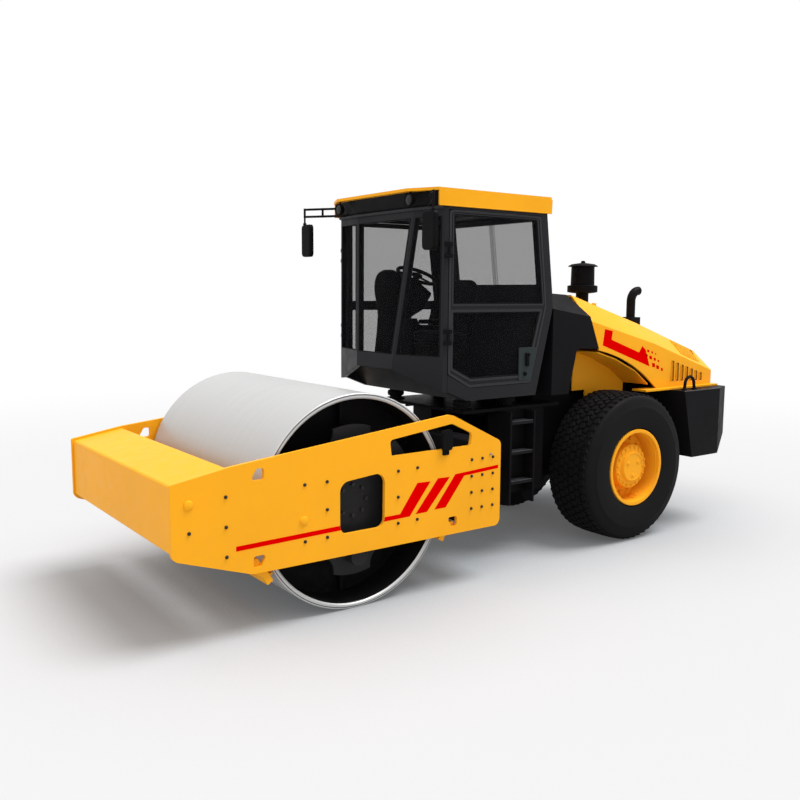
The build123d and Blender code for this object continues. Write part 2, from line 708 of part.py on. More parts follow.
inner_front = 250.0
with BuildPart() as inner_panel:
    across(shifted(wheel_x, [
        (inner_front, 1470), (inner_front, 1890), (-20, 1812), (-326, 1680), (-542, 1530),
        (-542, 1150), (60, 1150), (60, 1470)]), rail_outer, rail_outer + 15)
    across(shifted(wheel_x, [
        (inner_front, 1878), (inner_front, 1890), (-20, 1812), (-326, 1680), (-542, 1530),
        (-542, 1516), (-326, 1667), (-20, 1800)]),
        rail_outer + 10, hood_side - hood_sheet - 6)
save_both(inner_panel, "inner_panels")

# Cab --------------------------------------------------------------------------------
# front outline: (x from the wheel axis, y) of the right half, at the foot and head
front_foot = ((2270.0, -cab_side), (2430.0, -280.0))
front_head = ((2265.0, -cab_side), (2310.0, -450.0))


def front_line(z, inset=0.0):
    """The three front facets at height z, drawn in by inset, right to left."""
    share = (z - cab_wall_low) / (cab_wall_high - cab_wall_low)
    (bx, by), (ax, ay) = [tuple(f + (h - f) * share for f, h in zip(foot, head))
                          for foot, head in zip(front_foot, front_head)]
    slant = math.atan2(ay - by, ax - bx)
    ax2 = ax - inset
    ay2 = ay + inset * (1 - math.cos(math.pi / 2 - slant)) / math.sin(math.pi / 2 - slant)
    bx2 = bx - inset / math.sin(slant)
    return [(wheel_x + bx2, by), (wheel_x + ax2, ay2), (wheel_x + ax2, -ay2),
            (wheel_x + bx2, -by)]


def facet_quad(z, facet, margin, front_inset, rear_inset):
    """Plan outline of one facet's pane or opening at height z."""
    outer = front_line(z, front_inset)[facet:facet + 2]
    inner = front_line(z, rear_inset)[facet:facet + 2]
    corners = []
    for (x0, y0), (x1, y1) in (outer, inner):
        length = math.hypot(x1 - x0, y1 - y0)
        ux, uy = (x1 - x0) / length, (y1 - y0) / length
        corners.append(((x0 + ux * margin, y0 + uy * margin),
                        (x1 - ux * margin, y1 - uy * margin)))
    return [corners[0][0], corners[0][1], corners[1][1], corners[1][0]]


window_low = 1920.0
window_high = cab_wall_high - 80
skirt_low = 1610.0
pillar = 34.0
with BuildPart() as front_wall:
    loft_between(front_line(cab_wall_low) + front_line(cab_wall_low, cab_wall)[::-1],
                 front_line(cab_wall_high) + front_line(cab_wall_high, cab_wall)[::-1],
                 cab_wall_low, cab_wall_high)
    for facet in range(3):
        loft_between(facet_quad(window_low, facet, pillar, -20, cab_wall + 20),
                     facet_quad(window_high, facet, pillar, -20, cab_wall + 20),
                     window_low, window_high, Mode.SUBTRACT)
    # the skirt under each side facet falls from the front edge to the door
    for facet, corner, edge in ((0, 0, 1), (2, 1, 0)):
        foot_quad = facet_quad(cab_wall_low, facet, 0, 0, cab_wall)
        ends = [(foot_quad[corner], foot_quad[edge]),
                (foot_quad[3 - corner], foot_quad[3 - edge])]
        skirt_foot = [(x0 + (x1 - x0) * share, y0 + (y1 - y0) * share)
                      for ((x0, y0), (x1, y1)), share in zip(
                          (ends[0], ends[0], ends[1], ends[1]), (0, 0.03, 0.03, 0))]
        skirt_head = [ends[0][0], ends[0][1], ends[1][1], ends[1][0]]
        loft_between(skirt_foot, skirt_head, skirt_low, cab_wall_low)
save(front_wall, "cab_front")

with BuildPart() as front_glass:
    for facet in range(3):
        loft_between(facet_quad(window_low, facet, pillar + 0.5, 16, 16 + pane),
                     facet_quad(window_high, facet, pillar + 0.5, 16, 16 + pane),
                     window_low, window_high)
save(front_glass, "front_glass")

frame_front = 2213.0
side_outline = [(frame_front, cab_wall_high), (frame_front, skirt_low), (1990, cab_low),
                (1148, cab_low), (946, 2340), (964, 2514), (1049, cab_wall_high)]
door_top = cab_wall_high - door_drop
window_top = door_top - 32
opening = [(frame_front + 60, door_top + door_gap), (frame_front + 60, 1790), (1962, 1632),
           (1212, 1638), (1026, 2340), (1041, 2508), (1123, door_top + door_gap)]
door_outline = [(frame_front - door_gap, door_top), (frame_front - door_gap, 1766),
                (1965, 1637), (1216, 1643), (1031, 2340), (1046, 2508), (1128, door_top)]
upper_window = [(2160, window_top), (2160, 2370), (1078, 2370), (1178, window_top)]
upper_radii = (12, 12, 20, 20)
lower_window = [(2160, 2300), (2160, 1815), (1948, 1712), (1276, 1716), (1112, 2300)]
lower_radii = (20, 20, 20, 30, 20)

with BuildPart() as side_frame:
    across(shifted(wheel_x, side_outline), cab_side - cab_wall, cab_side)
    across(shifted(wheel_x, opening), cab_side - cab_wall - 1, cab_side + 1,
           (0, 0, 30, 60, 0, 0, 40), Mode.SUBTRACT)
save_pair(side_frame, "cab_side")

door_out = cab_side - 3
door_in = door_out - door_thickness
hinge_x = wheel_x + frame_front - 14
hinge_y = cab_side + 20
with BuildPart() as door:
    across(shifted(wheel_x, door_outline), door_in, door_out, (40, 20, 30, 55, 30, 30, 35))
    for window, radii in ((upper_window, upper_radii), (lower_window, lower_radii)):
        across(shifted(wheel_x, window), door_in - 1, door_out + 1, radii, Mode.SUBTRACT)
    for z in (2060, 2800):
        rod((hinge_x, hinge_y, z), (hinge_x, hinge_y, z + 55), 14)
        block((hinge_x - 32, hinge_x), (door_out, hinge_y), (z, z + 55))
        rod((hinge_x, hinge_y, z), (hinge_x, hinge_y, z + 55), 7, Mode.SUBTRACT)
save_pair(door, "door")

with BuildPart() as door_glass:
    for window, radii in ((upper_window, upper_radii), (lower_window, lower_radii)):
        across(shifted(wheel_x, window), door_out - 24, door_out - 24 + pane, radii)
save_pair(door_glass, "door_glass")

with BuildPart() as door_hinges:
    for z in (2060, 2800):
        rod((hinge_x, hinge_y, z - 40), (hinge_x, hinge_y, z + 95), 7 - pin_clearance)
        for low, high in ((z - 40, z - 5), (z + 60, z + 95)):
            rod((hinge_x, hinge_y, low), (hinge_x, hinge_y, high), 14)
            upward([(hinge_x, hinge_y + 14), (hinge_x, hinge_y - 10),
                    (hinge_x + 30, cab_side + 0.5), (hinge_x + 66, cab_side + 0.5),
                    (hinge_x + 66, cab_side + 12), (hinge_x + 20, hinge_y + 14)],
                   low, high)
save_both(door_hinges, "door_hinges")

rear_windows = ((-515, 43), (93, 655))
rear_window_heights = (2550, window_top)
rear_line = [(1148, cab_low), (946, 2340), (964, 2514), (1049, cab_wall_high)]
with BuildPart() as rear_wall:
    across(shifted(wheel_x, rear_line + [(x + 45, z) for x, z in reversed(rear_line)]),
           cab_wall - cab_side, cab_side - cab_wall)
    for y_low, y_high in rear_windows:
        block((wheel_x + 900, wheel_x + 1140), (y_low, y_high), rear_window_heights,
              Mode.SUBTRACT)
save(rear_wall, "cab_rear")

with BuildPart() as rear_glass:
    lean = (1049 - 964) / (cab_wall_high - 2514)
    z_low, z_high = rear_window_heights
    low = 964 + lean * (z_low - 2514) + 18
    high = 964 + lean * (z_high - 2514) + 18
    for y_low, y_high in rear_windows:
        across(shifted(wheel_x, [(low, z_low), (low + pane, z_low), (high + pane, z_high),
                                 (high, z_high)]), y_low, y_high)
save(rear_glass, "rear_glass")

floor_thickness = 40.0
toe_thickness = 26.0
floor_bend = 1990.0
with BuildPart() as floor:
    across(shifted(wheel_x, [
        (2206, 1744), (floor_bend, cab_low), (1195, cab_low),
        (1195, cab_low + floor_thickness), (floor_bend - 18, cab_low + floor_thickness),
        (2190, cab_wall_low + 5)]),
        cab_wall - cab_side, cab_side - cab_wall)
    toe = front_line(cab_wall_low + toe_thickness, cab_wall + 1)
    upward([(wheel_x + 2150, 60 - cab_side)]
           + [(toe[0][0], 60 - cab_side), toe[1], toe[2], (toe[3][0], cab_side - 60)]
           + [(wheel_x + 2150, cab_side - 60)], cab_wall_low, cab_wall_low + toe_thickness)
save(floor, "cab_floor")

with BuildPart() as header:
    foot = front_line(cab_wall_high)
    head = [(wheel_x + roof_corner - 10, -cab_side), (wheel_x + roof_front - 56, -450),
            (wheel_x + roof_front - 56, 450), (wheel_x + roof_corner - 10, cab_side)]
    rear_foot = [(wheel_x + 1049, cab_side), (wheel_x + 1049, -cab_side)]
    rear_head = [(wheel_x + 1026, cab_side), (wheel_x + 1026, -cab_side)]
    loft_between(foot + rear_foot, head + rear_head, cab_wall_high, header_high)
save(header, "cab_header")

stud_front = 2240.0             # lifting studs on the roof, from the wheels
stud_rear = 1060.0
with BuildPart() as roof:
    upward([(wheel_x + roof_front, -556), (wheel_x + roof_front, 556),
            (wheel_x + roof_corner, roof_side), (wheel_x + roof_rear, roof_side),
            (wheel_x + roof_rear, -roof_side), (wheel_x + roof_corner, -roof_side)],
           header_high, roof_high, (12, 12, 20, 20, 20, 20))
    for side in (1, -1):
        band = sorted((side * (cab_side + 2), side * roof_side))
        across(shifted(wheel_x, [(roof_corner - 8, header_high + 5), (roof_corner - 8, band_low),
                                 (roof_rear + 5, band_low), (roof_rear, header_high + 5)]),
               band[0], band[1])
        for x in (stud_front, stud_rear):
            rod((wheel_x + x, side * 720, roof_high - 1), (wheel_x + x, side * 720,
                roof_high + stud_rise), 9)
    block((wheel_x + roof_rear, wheel_x + 1020), (-roof_side + 10, roof_side - 10),
          (band_low + 5, header_high + 5))
save(roof, "roof_cap")

lamp_radius = 55.0
lamp_front = roof_front - 12
lamp_middle = header_high - lamp_radius - 16
with BuildPart() as lamp:
    turned((wheel_x + lamp_front, 560, lamp_middle), (1, 0, 0), [
        (0, -54), (34, -54), (lamp_radius - 4, -30), (lamp_radius, -24), (lamp_radius, 0),
        (lamp_radius - 7, 0), (lamp_radius - 7, -8), (0, -8)])
    rod((wheel_x + lamp_front - 26, 560, lamp_middle + lamp_radius - 4),
        (wheel_x + lamp_front - 26, 560, header_high - seat_gap), 10)
save_both(lamp, "work_lamps")

# Mirrors ------------------------------------------------------------------------------
mirror_x = wheel_x + roof_corner + 215
mirror_y = 985.0
mirror_middle = header_high - 350
mirror_height = 314.0
mirror_top = mirror_middle + mirror_height / 2
arm_high = header_high - 45
arm_low = header_high - 115
arm_radius = 11.0
with BuildPart() as mirror_arm:
    arm_foot = (wheel_x + roof_corner - 55, 620)
    arm_head = (mirror_x, mirror_y + 45)
    for z in (arm_high, arm_low):
        rod((*arm_foot, z), (*arm_head, z), arm_radius)
    for share in (0.6, 1.0):
        x = arm_foot[0] + (arm_head[0] - arm_foot[0]) * share
        y = arm_foot[1] + (arm_head[1] - arm_foot[1]) * share
        rod((x, y, arm_low - arm_radius), (x, y, arm_high + arm_radius), arm_radius)
    rod((*arm_head, mirror_top + seat_gap), (*arm_head, arm_low), 9)
    add(header.part, mode=Mode.SUBTRACT)
save_both(mirror_arm, "mirror_arms")

with BuildPart() as mirror_head:
    with BuildSketch(Plane.YZ.offset(mirror_x - 22)) as back:
        with Locations((mirror_y, mirror_middle)):
            RectangleRounded(170, mirror_height, 38)
    extrude(to_extrude=back.sketch, amount=44)
    fillet(mirror_head.faces().sort_by(Axis.X)[-1].edges(), 18)
save_both(mirror_head, "mirror_heads")

# Operator's station ----------------------------------------------------------------------
floor_top = cab_low + floor_thickness
seat_x = wheel_x + 1500
with BuildPart() as seat_base:
    block((seat_x - 190, seat_x + 190), (station_y - 190, station_y + 190),
          (floor_top, 1960))
save(seat_base, "seat_base")

with BuildPart() as seat:
    across([(seat_x - 200, 1960 + seat_gap), (seat_x + 260, 1960 + seat_gap),
            (seat_x + 260, 2080), (seat_x - 140, 2080), (seat_x - 215, 2610),
            (seat_x - 325, 2610), (seat_x - 240, 2000)], station_y - 240, station_y + 240,
           (20, 30, 40, 40, 40, 40, 30))
save(seat, "seat")

side_console_top = 2130.0
with BuildPart() as side_console:
    across(shifted(wheel_x, [
        (1195, floor_top + seat_gap), (1665, floor_top + seat_gap),
        (1665, side_console_top + 30), (1640, side_console_top + 78),
        (1590, side_console_top + 78), (1555, side_console_top + 10),
        (1195, side_console_top - 6)]), -cab_side + 65, -cab_side + 365,
        (1, 30, 25, 12, 12, 40, 30))
save(side_console, "side_console")

console_x = wheel_x + 2130
console_rear = console_x - 90
pod_low = cab_wall_low + toe_thickness
floor_slope = (cab_wall_low + 5 - floor_top) / (2190 - floor_bend + 18)


def floor_at(x):
    """Height of the sloped toe of the floor at x from the wheel axis."""
    return floor_top + (x - floor_bend + 18) * floor_slope


with BuildPart() as console:
    with BuildSketch(Plane.YZ.offset(console_rear)) as pod:
        with BuildLine():
            FilletPolyline((station_y - 200, pod_low), (station_y - 120, 2330),
                           (station_y - 170, 2560), (station_y - 110, 2682),
                           (station_y + 110, 2682), (station_y + 170, 2560),
                           (station_y + 120, 2330), (station_y + 200, pod_low),
                           radius=(1, 60, 60, 80, 80, 60, 60, 1), close=True)
        make_face()
    extrude(to_extrude=pod.sketch, amount=225)
    leg = (console_rear - wheel_x, 2148)
    across(shifted(wheel_x, [(leg[0], floor_at(leg[0]) + seat_gap),
                             (leg[1], floor_at(leg[1]) + seat_gap),
                             (leg[1], pod_low + 10), (leg[0], pod_low + 10)]),
           station_y - 150, station_y + 150)
save(console, "console")

wheel_middle = (wheel_x + 1830, station_y, 2610.0)
column_axis = Vector(0.42, 0, -1).normalized()
with BuildPart() as column:
    foot = Vector(*wheel_middle) + column_axis * 300
    rod((foot.X, foot.Y, foot.Z), wheel_middle, 32)
    across([(console_rear, 2620), (wheel_x + 1928, 2606), (wheel_x + 1713, 2458),
            (wheel_x + 1778, 2373), (wheel_x + 1833, 2300), (console_rear, 2200)],
           station_y - 100, station_y + 100, (1, 30, 25, 30, 40, 1))
save(column, "steering_column")

with BuildPart() as steering_wheel:
    rim_plane = Plane(origin=wheel_middle, z_dir=-column_axis)
    with BuildSketch(rim_plane.offset(10)) as hub_disc:
        Circle(52)
    extrude(to_extrude=hub_disc.sketch, amount=26)
    with BuildSketch(rim_plane.offset(14)) as spokes:
        with PolarLocations(0, 3, start_angle=90):
            with Locations((0, 105)):
                Rectangle(30, 170)
    extrude(to_extrude=spokes.sketch, amount=12)
    with BuildSketch(Plane(origin=rim_plane.offset(20).origin, x_dir=rim_plane.x_dir,
                           z_dir=-rim_plane.y_dir)) as ring:
        with Locations((195, 0)):
            Circle(15)
    revolve(profiles=ring.sketch, axis=Axis(rim_plane.origin, rim_plane.z_dir))
    rod(wheel_middle, (rim_plane.offset(12).origin.X, rim_plane.offset(12).origin.Y,
                       rim_plane.offset(12).origin.Z), 32)
save(steering_wheel, "steering_wheel")
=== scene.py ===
import json
import math

import bpy
import bmesh
from mathutils import Matrix, Vector

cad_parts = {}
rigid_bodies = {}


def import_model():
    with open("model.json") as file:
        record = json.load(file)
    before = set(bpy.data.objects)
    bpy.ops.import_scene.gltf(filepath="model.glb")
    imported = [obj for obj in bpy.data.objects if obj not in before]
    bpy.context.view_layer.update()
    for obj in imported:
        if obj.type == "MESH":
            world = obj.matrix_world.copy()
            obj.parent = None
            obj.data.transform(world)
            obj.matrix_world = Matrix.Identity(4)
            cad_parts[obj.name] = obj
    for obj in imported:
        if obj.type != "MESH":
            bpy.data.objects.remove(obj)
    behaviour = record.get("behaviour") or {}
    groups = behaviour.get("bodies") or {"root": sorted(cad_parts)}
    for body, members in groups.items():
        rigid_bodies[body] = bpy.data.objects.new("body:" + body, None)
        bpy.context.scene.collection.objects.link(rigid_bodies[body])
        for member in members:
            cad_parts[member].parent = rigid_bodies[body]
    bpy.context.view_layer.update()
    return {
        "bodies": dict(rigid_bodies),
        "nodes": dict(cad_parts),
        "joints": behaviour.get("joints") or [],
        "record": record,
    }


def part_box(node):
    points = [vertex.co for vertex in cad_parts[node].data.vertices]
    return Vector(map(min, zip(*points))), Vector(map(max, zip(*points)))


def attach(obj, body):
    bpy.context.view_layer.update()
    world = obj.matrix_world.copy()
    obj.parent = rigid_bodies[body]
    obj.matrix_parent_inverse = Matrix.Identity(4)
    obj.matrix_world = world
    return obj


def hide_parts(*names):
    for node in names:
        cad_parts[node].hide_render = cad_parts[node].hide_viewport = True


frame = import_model()
nodes = frame["nodes"]
print("frame loaded:", len(nodes), "nodes")

drumLow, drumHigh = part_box("drum_shell")
drumMiddle = (drumLow + drumHigh) / 2
drumRadius = (drumHigh.z - drumLow.z) / 2
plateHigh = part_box("side_plate_left")[1]
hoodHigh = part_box("hood")[1]


# the camera: place, heading, dip and roll, in metres and radians
view = {"place": (5.3596, 6.6485, 2.4682), "heading": 4.0832, "dip": 0.1226,
        "roll": 0.0055, "lens": 39.28, "sensor": 36.0}


def aimCamera():
    heading, dip, roll = view["heading"], view["dip"], view["roll"]
    ahead = Vector((math.cos(heading) * math.cos(dip), math.sin(heading) * math.cos(dip),
                    -math.sin(dip)))
    right = ahead.cross(Vector((0, 0, 1))).normalized()
    up = right.cross(ahead)
    turnedRight = right * math.cos(roll) + up * math.sin(roll)
    turnedUp = up * math.cos(roll) - right * math.sin(roll)
    data = bpy.data.cameras.new("camera")
    data.lens = view["lens"]
    data.sensor_width = view["sensor"]
    data.clip_end = 200
    camera = bpy.data.objects.new("camera", data)
    bpy.context.scene.collection.objects.link(camera)
    columns = Matrix((turnedRight, turnedUp, -ahead)).transposed()
    camera.matrix_world = Matrix.Translation(view["place"]) @ columns.to_4x4()
    bpy.context.scene.camera = camera


aimCamera()


# small tools for node trees
def fill(tree, node, values):
    # each value is a socket to link from, or a plain value to set
    for key, value in values.items():
        if isinstance(value, bpy.types.NodeSocket):
            tree.links.new(value, node.inputs[key])
        else:
            node.inputs[key].default_value = value
    return node


def addNode(tree, kind, values=None, **settings):
    node = tree.nodes.new(kind)
    for key, value in settings.items():
        setattr(node, key, value)
    return fill(tree, node, values or {})


def made(tree, kind, values=None, **settings):
    # the first thing that a new node gives
    return addNode(tree, kind, values, **settings).outputs[0]


def calculate(tree, operation, first, second=0.0, third=0.0):
    return made(tree, "ShaderNodeMath", {0: first, 1: second, 2: third}, operation=operation)


def times(tree, first, second):
    return calculate(tree, "MULTIPLY", first, second)


def combined(tree, x=0.0, y=0.0, z=0.0):
    return made(tree, "ShaderNodeCombineXYZ", {0: x, 1: y, 2: z})


def blendColours(tree, share, first, second):
    node = addNode(tree, "ShaderNodeMix", data_type="RGBA")
    return fill(tree, node, {0: share, 6: first, 7: second}).outputs[2]


def ramp(tree, value, low, high, fromValue=0.0, toValue=1.0):
    return made(tree, "ShaderNodeMapRange", {0: value, 1: low, 2: high, 3: fromValue,
                                             4: toValue})


def colour(values, factor=1.0):
    return (values[0] * factor, values[1] * factor, values[2] * factor, 1.0)


# finishes
def startFinish(name, **settings):
    material = bpy.data.materials.new(name)
    material.use_nodes = True
    tree = material.node_tree
    tree.nodes.clear()
    shader = addNode(tree, "ShaderNodeBsdfPrincipled", settings)
    out = addNode(tree, "ShaderNodeOutputMaterial")
    tree.links.new(shader.outputs[0], out.inputs[0])
    place = addNode(tree, "ShaderNodeTexCoord").outputs["Object"]
    return material, tree, shader, place


def noise(tree, place, scale, detail=3.0, stretch=None):
    if stretch:
        place = made(tree, "ShaderNodeMapping", {"Vector": place, "Scale": stretch})
    return made(tree, "ShaderNodeTexNoise", {"Vector": place, "Scale": scale, "Detail": detail})


def wave(tree, place, scale, way):
    return addNode(tree, "ShaderNodeTexWave", {"Vector": place, "Scale": scale},
                   bands_direction=way).outputs[1]


def roundedBump(tree, height, strength, distance, edge=0.0):
    # fine relief, with a soft edge where edge is given
    values = {"Height": height, "Strength": strength, "Distance": distance}
    if edge:
        values["Normal"] = made(tree, "ShaderNodeBevel", {"Radius": edge}, samples=4)
    return made(tree, "ShaderNodeBump", values)


def sprayPaint(name, base, roughness=0.34, dust=0.0, gloss=0.06, edge=0.004, shade=0.93):
    material, tree, shader, place = startFinish(name, **{"Specular IOR Level": gloss})
    cloudy = noise(tree, place, 1.3, 4.0)
    tone = blendColours(tree, ramp(tree, cloudy, 0.35, 0.7), colour(base), colour(base, shade))
    if dust:
        # dry soil settles on the lower parts
        height = addNode(tree, "ShaderNodeSeparateXYZ", {0: place}).outputs[2]
        low = ramp(tree, height, 1.3, 0.1, 0.0, dust)
        speckle = ramp(tree, noise(tree, place, 14.0, 6.0), 0.42, 0.75)
        tone = blendColours(tree, times(tree, low, speckle), tone, colour(colours["soil"]))
    worn = noise(tree, place, 9.0, 5.0)
    fill(tree, shader, {
        "Base Color": tone,
        "Roughness": ramp(tree, worn, 0.3, 0.75, roughness - 0.05, roughness + 0.1),
        "Normal": roundedBump(tree, noise(tree, place, 420.0, 2.0), 0.06, 0.0006, edge)})
    return material


# depths in from the drum's surface: where its black inside starts, and the rim's groove, painted
# as a dark ring of shade
drumEnd = {"wall": 0.0435, "grooveShade": 0.014, "grooveShadeHalf": 0.0035}


def rolledSteel(name, base, roughness=0.42, metal=0.35):
    material, tree, shader, place = startFinish(name, **{"Specular IOR Level": 0.2})
    streak = noise(tree, place, 1.0, 6.0, (1.2, 190.0, 1.2))
    broad = noise(tree, place, 2.4, 3.0, (0.5, 3.0, 0.5))
    tone = blendColours(tree, ramp(tree, streak, 0.3, 0.7), colour(base), colour(base, 0.88))
    tone = blendColours(tree, ramp(tree, broad, 0.35, 0.7), tone, colour(base, 0.94))
    spot = made(tree, "ShaderNodeVectorMath", {0: place, 1: tuple(drumMiddle)},
                operation="SUBTRACT")
    flat = made(tree, "ShaderNodeVectorMath", {0: spot, 1: (1, 0, 1)}, operation="MULTIPLY")
    reach = addNode(tree, "ShaderNodeVectorMath", {0: flat}, operation="LENGTH").outputs[1]
    bore = calculate(tree, "LESS_THAN", reach, drumRadius - drumEnd["wall"])
    # the groove has no depth of its own: a thin dark ring of painted shade stands for it
    grooveShade = calculate(tree, "SUBTRACT", reach, drumRadius - drumEnd["grooveShade"])
    grooveShade = calculate(tree, "LESS_THAN", calculate(tree, "ABSOLUTE", grooveShade),
                       drumEnd["grooveShadeHalf"])
    tone = blendColours(tree, grooveShade, tone, colour(base, 0.12))
    tone = blendColours(tree, bore, tone, colour(colours["black"]))
    fill(tree, shader, {
        "Base Color": tone,
        "Metallic": times(tree, metal, calculate(tree, "SUBTRACT", 1.0, bore)),
        "Roughness": ramp(tree, streak, 0.25, 0.75, roughness - 0.08, roughness + 0.1),
        "Normal": roundedBump(tree, streak, 0.12, 0.0008, 0.004)})
    return material


def brightMetal(name, base, roughness, scratch=(40.0, 40.0, 900.0)):
    material, tree, shader, place = startFinish(name, **{"Metallic": 1.0})
    fine = noise(tree, place, 1.0, 4.0, scratch)
    fill(tree, shader, {
        "Base Color": blendColours(tree, fine, colour(base), colour(base, 0.8)),
        "Roughness": ramp(tree, fine, 0.3, 0.7, roughness * 0.8, roughness * 1.3),
        "Normal": roundedBump(tree, fine, 0.1, 0.0004, 0.001)})
    return material


def tyreRubber(name, base):
    material, tree, shader, place = startFinish(name, **{"Specular IOR Level": 0.06})
    patch = noise(tree, place, 5.0, 6.0)
    tone = blendColours(tree, ramp(tree, patch, 0.4, 0.7), colour(base), colour(base, 1.35))
    fill(tree, shader, {
        "Base Color": tone, "Roughness": ramp(tree, patch, 0.3, 0.7, 0.58, 0.78),
        "Normal": roundedBump(tree, noise(tree, place, 320.0, 2.0), 0.2, 0.0012, 0.003)})
    return material


def mouldedPlastic(name, base, roughness=0.5):
    material, tree, shader, place = startFinish(name, **{"Specular IOR Level": 0.03})
    grain = made(tree, "ShaderNodeTexVoronoi", {"Vector": place, "Scale": 700.0})
    cloudy = ramp(tree, noise(tree, place, 6.0), 0.3, 0.7)
    fill(tree, shader, {
        "Base Color": blendColours(tree, cloudy, colour(base), colour(base, 1.25)),
        "Roughness": ramp(tree, grain, 0.0, 1.0, roughness - 0.05, roughness + 0.12),
        "Normal": roundedBump(tree, grain, 0.16, 0.0008, 0.003)})
    return material


def wovenCloth(name, base, threads=130.0):
    material, tree, shader, place = startFinish(name, **{
        "Sheen Weight": 0.03, "Sheen Roughness": 0.5, "Specular IOR Level": 0.05,
        "Roughness": 0.85})
    thread = calculate(tree, "MAXIMUM", wave(tree, place, threads, "X"),
                       wave(tree, place, threads, "Z"))
    fill(tree, shader, {
        "Base Color": blendColours(tree, thread, colour(base, 0.7), colour(base, 1.3)),
        "Normal": roundedBump(tree, thread, 0.35, 0.0012)})
    return material


def tintedGlass(name, base, alpha):
    material, tree, shader, place = startFinish(
        name, **{"Alpha": alpha, "Specular IOR Level": 0.0})
    film = noise(tree, place, 1.6, 5.0)
    fill(tree, shader, {
        "Base Color": blendColours(tree, film, colour(base), colour(base, 1.2)),
        "Roughness": ramp(tree, film, 0.3, 0.7, 0.22, 0.30)})
    return material


def litLens(name, base, roughness=0.12):
    material, tree, shader, place = startFinish(
        name, **{"Specular IOR Level": 0.15, "Roughness": roughness})
    flute = wave(tree, place, 60.0, "Y")
    fill(tree, shader, {
        "Base Color": blendColours(tree, flute, colour(base), colour(base, 0.75)),
        "Normal": roundedBump(tree, flute, 0.3, 0.001)})
    return material


# what a user would repaint
colours = {
    "yellow": (0.900, 0.390, 0.014), "rim": (0.880, 0.370, 0.014), "red": (0.70, 0.000, 0.000),
    "black": (0.0066, 0.0060, 0.0068), "grey": (0.030, 0.030, 0.032),
    "hanger": (0.017, 0.017, 0.0185),
    "cabGrey": (0.016, 0.016, 0.018), "dark": (0.006, 0.006, 0.0065),
    "drum": (0.52, 0.52, 0.515), "rubber": (0.0066, 0.0062, 0.0068),
    "plastic": (0.005, 0.005, 0.0055), "cloth": (0.0075, 0.0075, 0.0085),
    "bolt": (0.012, 0.011, 0.011), "tread": (0.012, 0.012, 0.013),
    "edge": (0.030, 0.030, 0.033), "lock": (0.024, 0.030, 0.030),
    # the pale grip grey is painted highlight for lit edges of the steps and counterweight
    "grip": (0.070, 0.070, 0.075), "cowl": (0.0066, 0.0062, 0.0070),
    "glass": (0.010, 0.010, 0.011), "chrome": (0.74, 0.74, 0.76), "pin": (0.42, 0.42, 0.43),
    "lens": (0.016, 0.016, 0.018), "mirror": (0.55, 0.57, 0.60), "lining": (0.010, 0.010, 0.011),
    "soil": (0.30, 0.25, 0.19),
}
yellowPaint = sprayPaint("yellow paint", colours["yellow"], 0.36, dust=0.05)
rimPaint = sprayPaint("rim paint", colours["rim"], 0.34, dust=0.06)
redPaint = sprayPaint("red stripe film", colours["red"], 0.5, gloss=0.0, edge=0.0)
blackPaint = sprayPaint("black paint", colours["black"], 0.42, gloss=0.03, dust=0.02,
                        shade=1.25)
greyPaint = sprayPaint("cab grey paint", colours["grey"], 0.36, shade=1.12)
hangerPaint = sprayPaint("hanger paint", colours["hanger"], 0.4, gloss=0.1, shade=1.12)
cabPaint = sprayPaint("cab frame paint", colours["cabGrey"], 0.36, shade=1.12)
frameSteel = sprayPaint("chassis paint", colours["dark"], 0.48, dust=0.06, shade=1.4)
drumSteel = rolledSteel("rolled drum steel", colours["drum"])
rubberFinish = tyreRubber("tyre rubber", colours["rubber"])
plasticFinish = mouldedPlastic("moulded plastic", colours["plastic"])
clothFinish = wovenCloth("seat cloth", colours["cloth"])
glassFinish = tintedGlass("tinted glass", colours["glass"], 0.27)
chromeFinish = brightMetal("hard chrome", colours["chrome"], 0.14)
pinFinish = brightMetal("pin steel", colours["pin"], 0.32)
treadFinish = sprayPaint("step steel", colours["tread"], 0.5, gloss=0.03, shade=1.3)
boltFinish = sprayPaint("blackened bolt", colours["bolt"], 0.42, gloss=0.3, edge=0.001)
lensFinish = litLens("lamp lens", colours["lens"])
mirrorFinish = brightMetal("mirror glass", colours["mirror"], 0.05, (2.0, 2.0, 2.0))
linerFinish = mouldedPlastic("cab lining", colours["lining"], 0.6)
edgePaint = sprayPaint("cab edge paint", colours["edge"], 0.40, edge=0.0, shade=1.1)
lockPaint = sprayPaint("lock plate paint", colours["lock"], 0.45, edge=0.0, shade=1.1)
# a pale grey that paints highlights along lit edges
edgeHighlightFinish = sprayPaint("painted edge highlight", colours["grip"], 0.5, edge=0.0, shade=1.2)
hoodPaint = sprayPaint("cowl paint", colours["cowl"], 0.42, gloss=0.03, shade=1.25)

slotFinish = {
    "yellow_paint": yellowPaint, "black_paint": blackPaint, "grey_paint": cabPaint,
    "drum_steel": drumSteel, "frame_steel": frameSteel, "tyre_rubber": rubberFinish,
    "rim_paint": rimPaint, "clear_glass": glassFinish, "seat_cloth": clothFinish,
    "black_plastic": plasticFinish, "rod_chrome": chromeFinish, "pin_steel": pinFinish,
    "tread_steel": treadFinish,
}
# nodes whose finish differs from their slot's
# rear_beam is yellow in its slot; its black here is painted shade
nodeFinish = {"cab_floor": greyPaint, "cab_front": cabPaint, "drum_hangers": hangerPaint,
              "rear_beam": blackPaint, "rear_cowl": hoodPaint}
for sideName in ("cab_side_left", "cab_side_right", "door_left", "door_right"):
    nodeFinish[sideName] = cabPaint


def dressNodes():
    slots = {part["node"]: part["material_slot"] for part in frame["record"]["subparts"]}
    for name, piece in nodes.items():
        finish = nodeFinish.get(name) or slotFinish.get(slots.get(name)) or blackPaint
        if not piece.material_slots:
            piece.data.materials.append(finish)
        for place in piece.material_slots:
            place.link = "OBJECT"
            place.material = finish
    print("finishes on", len(nodes), "nodes;", len(set(slots.values())), "slots")


dressNodes()
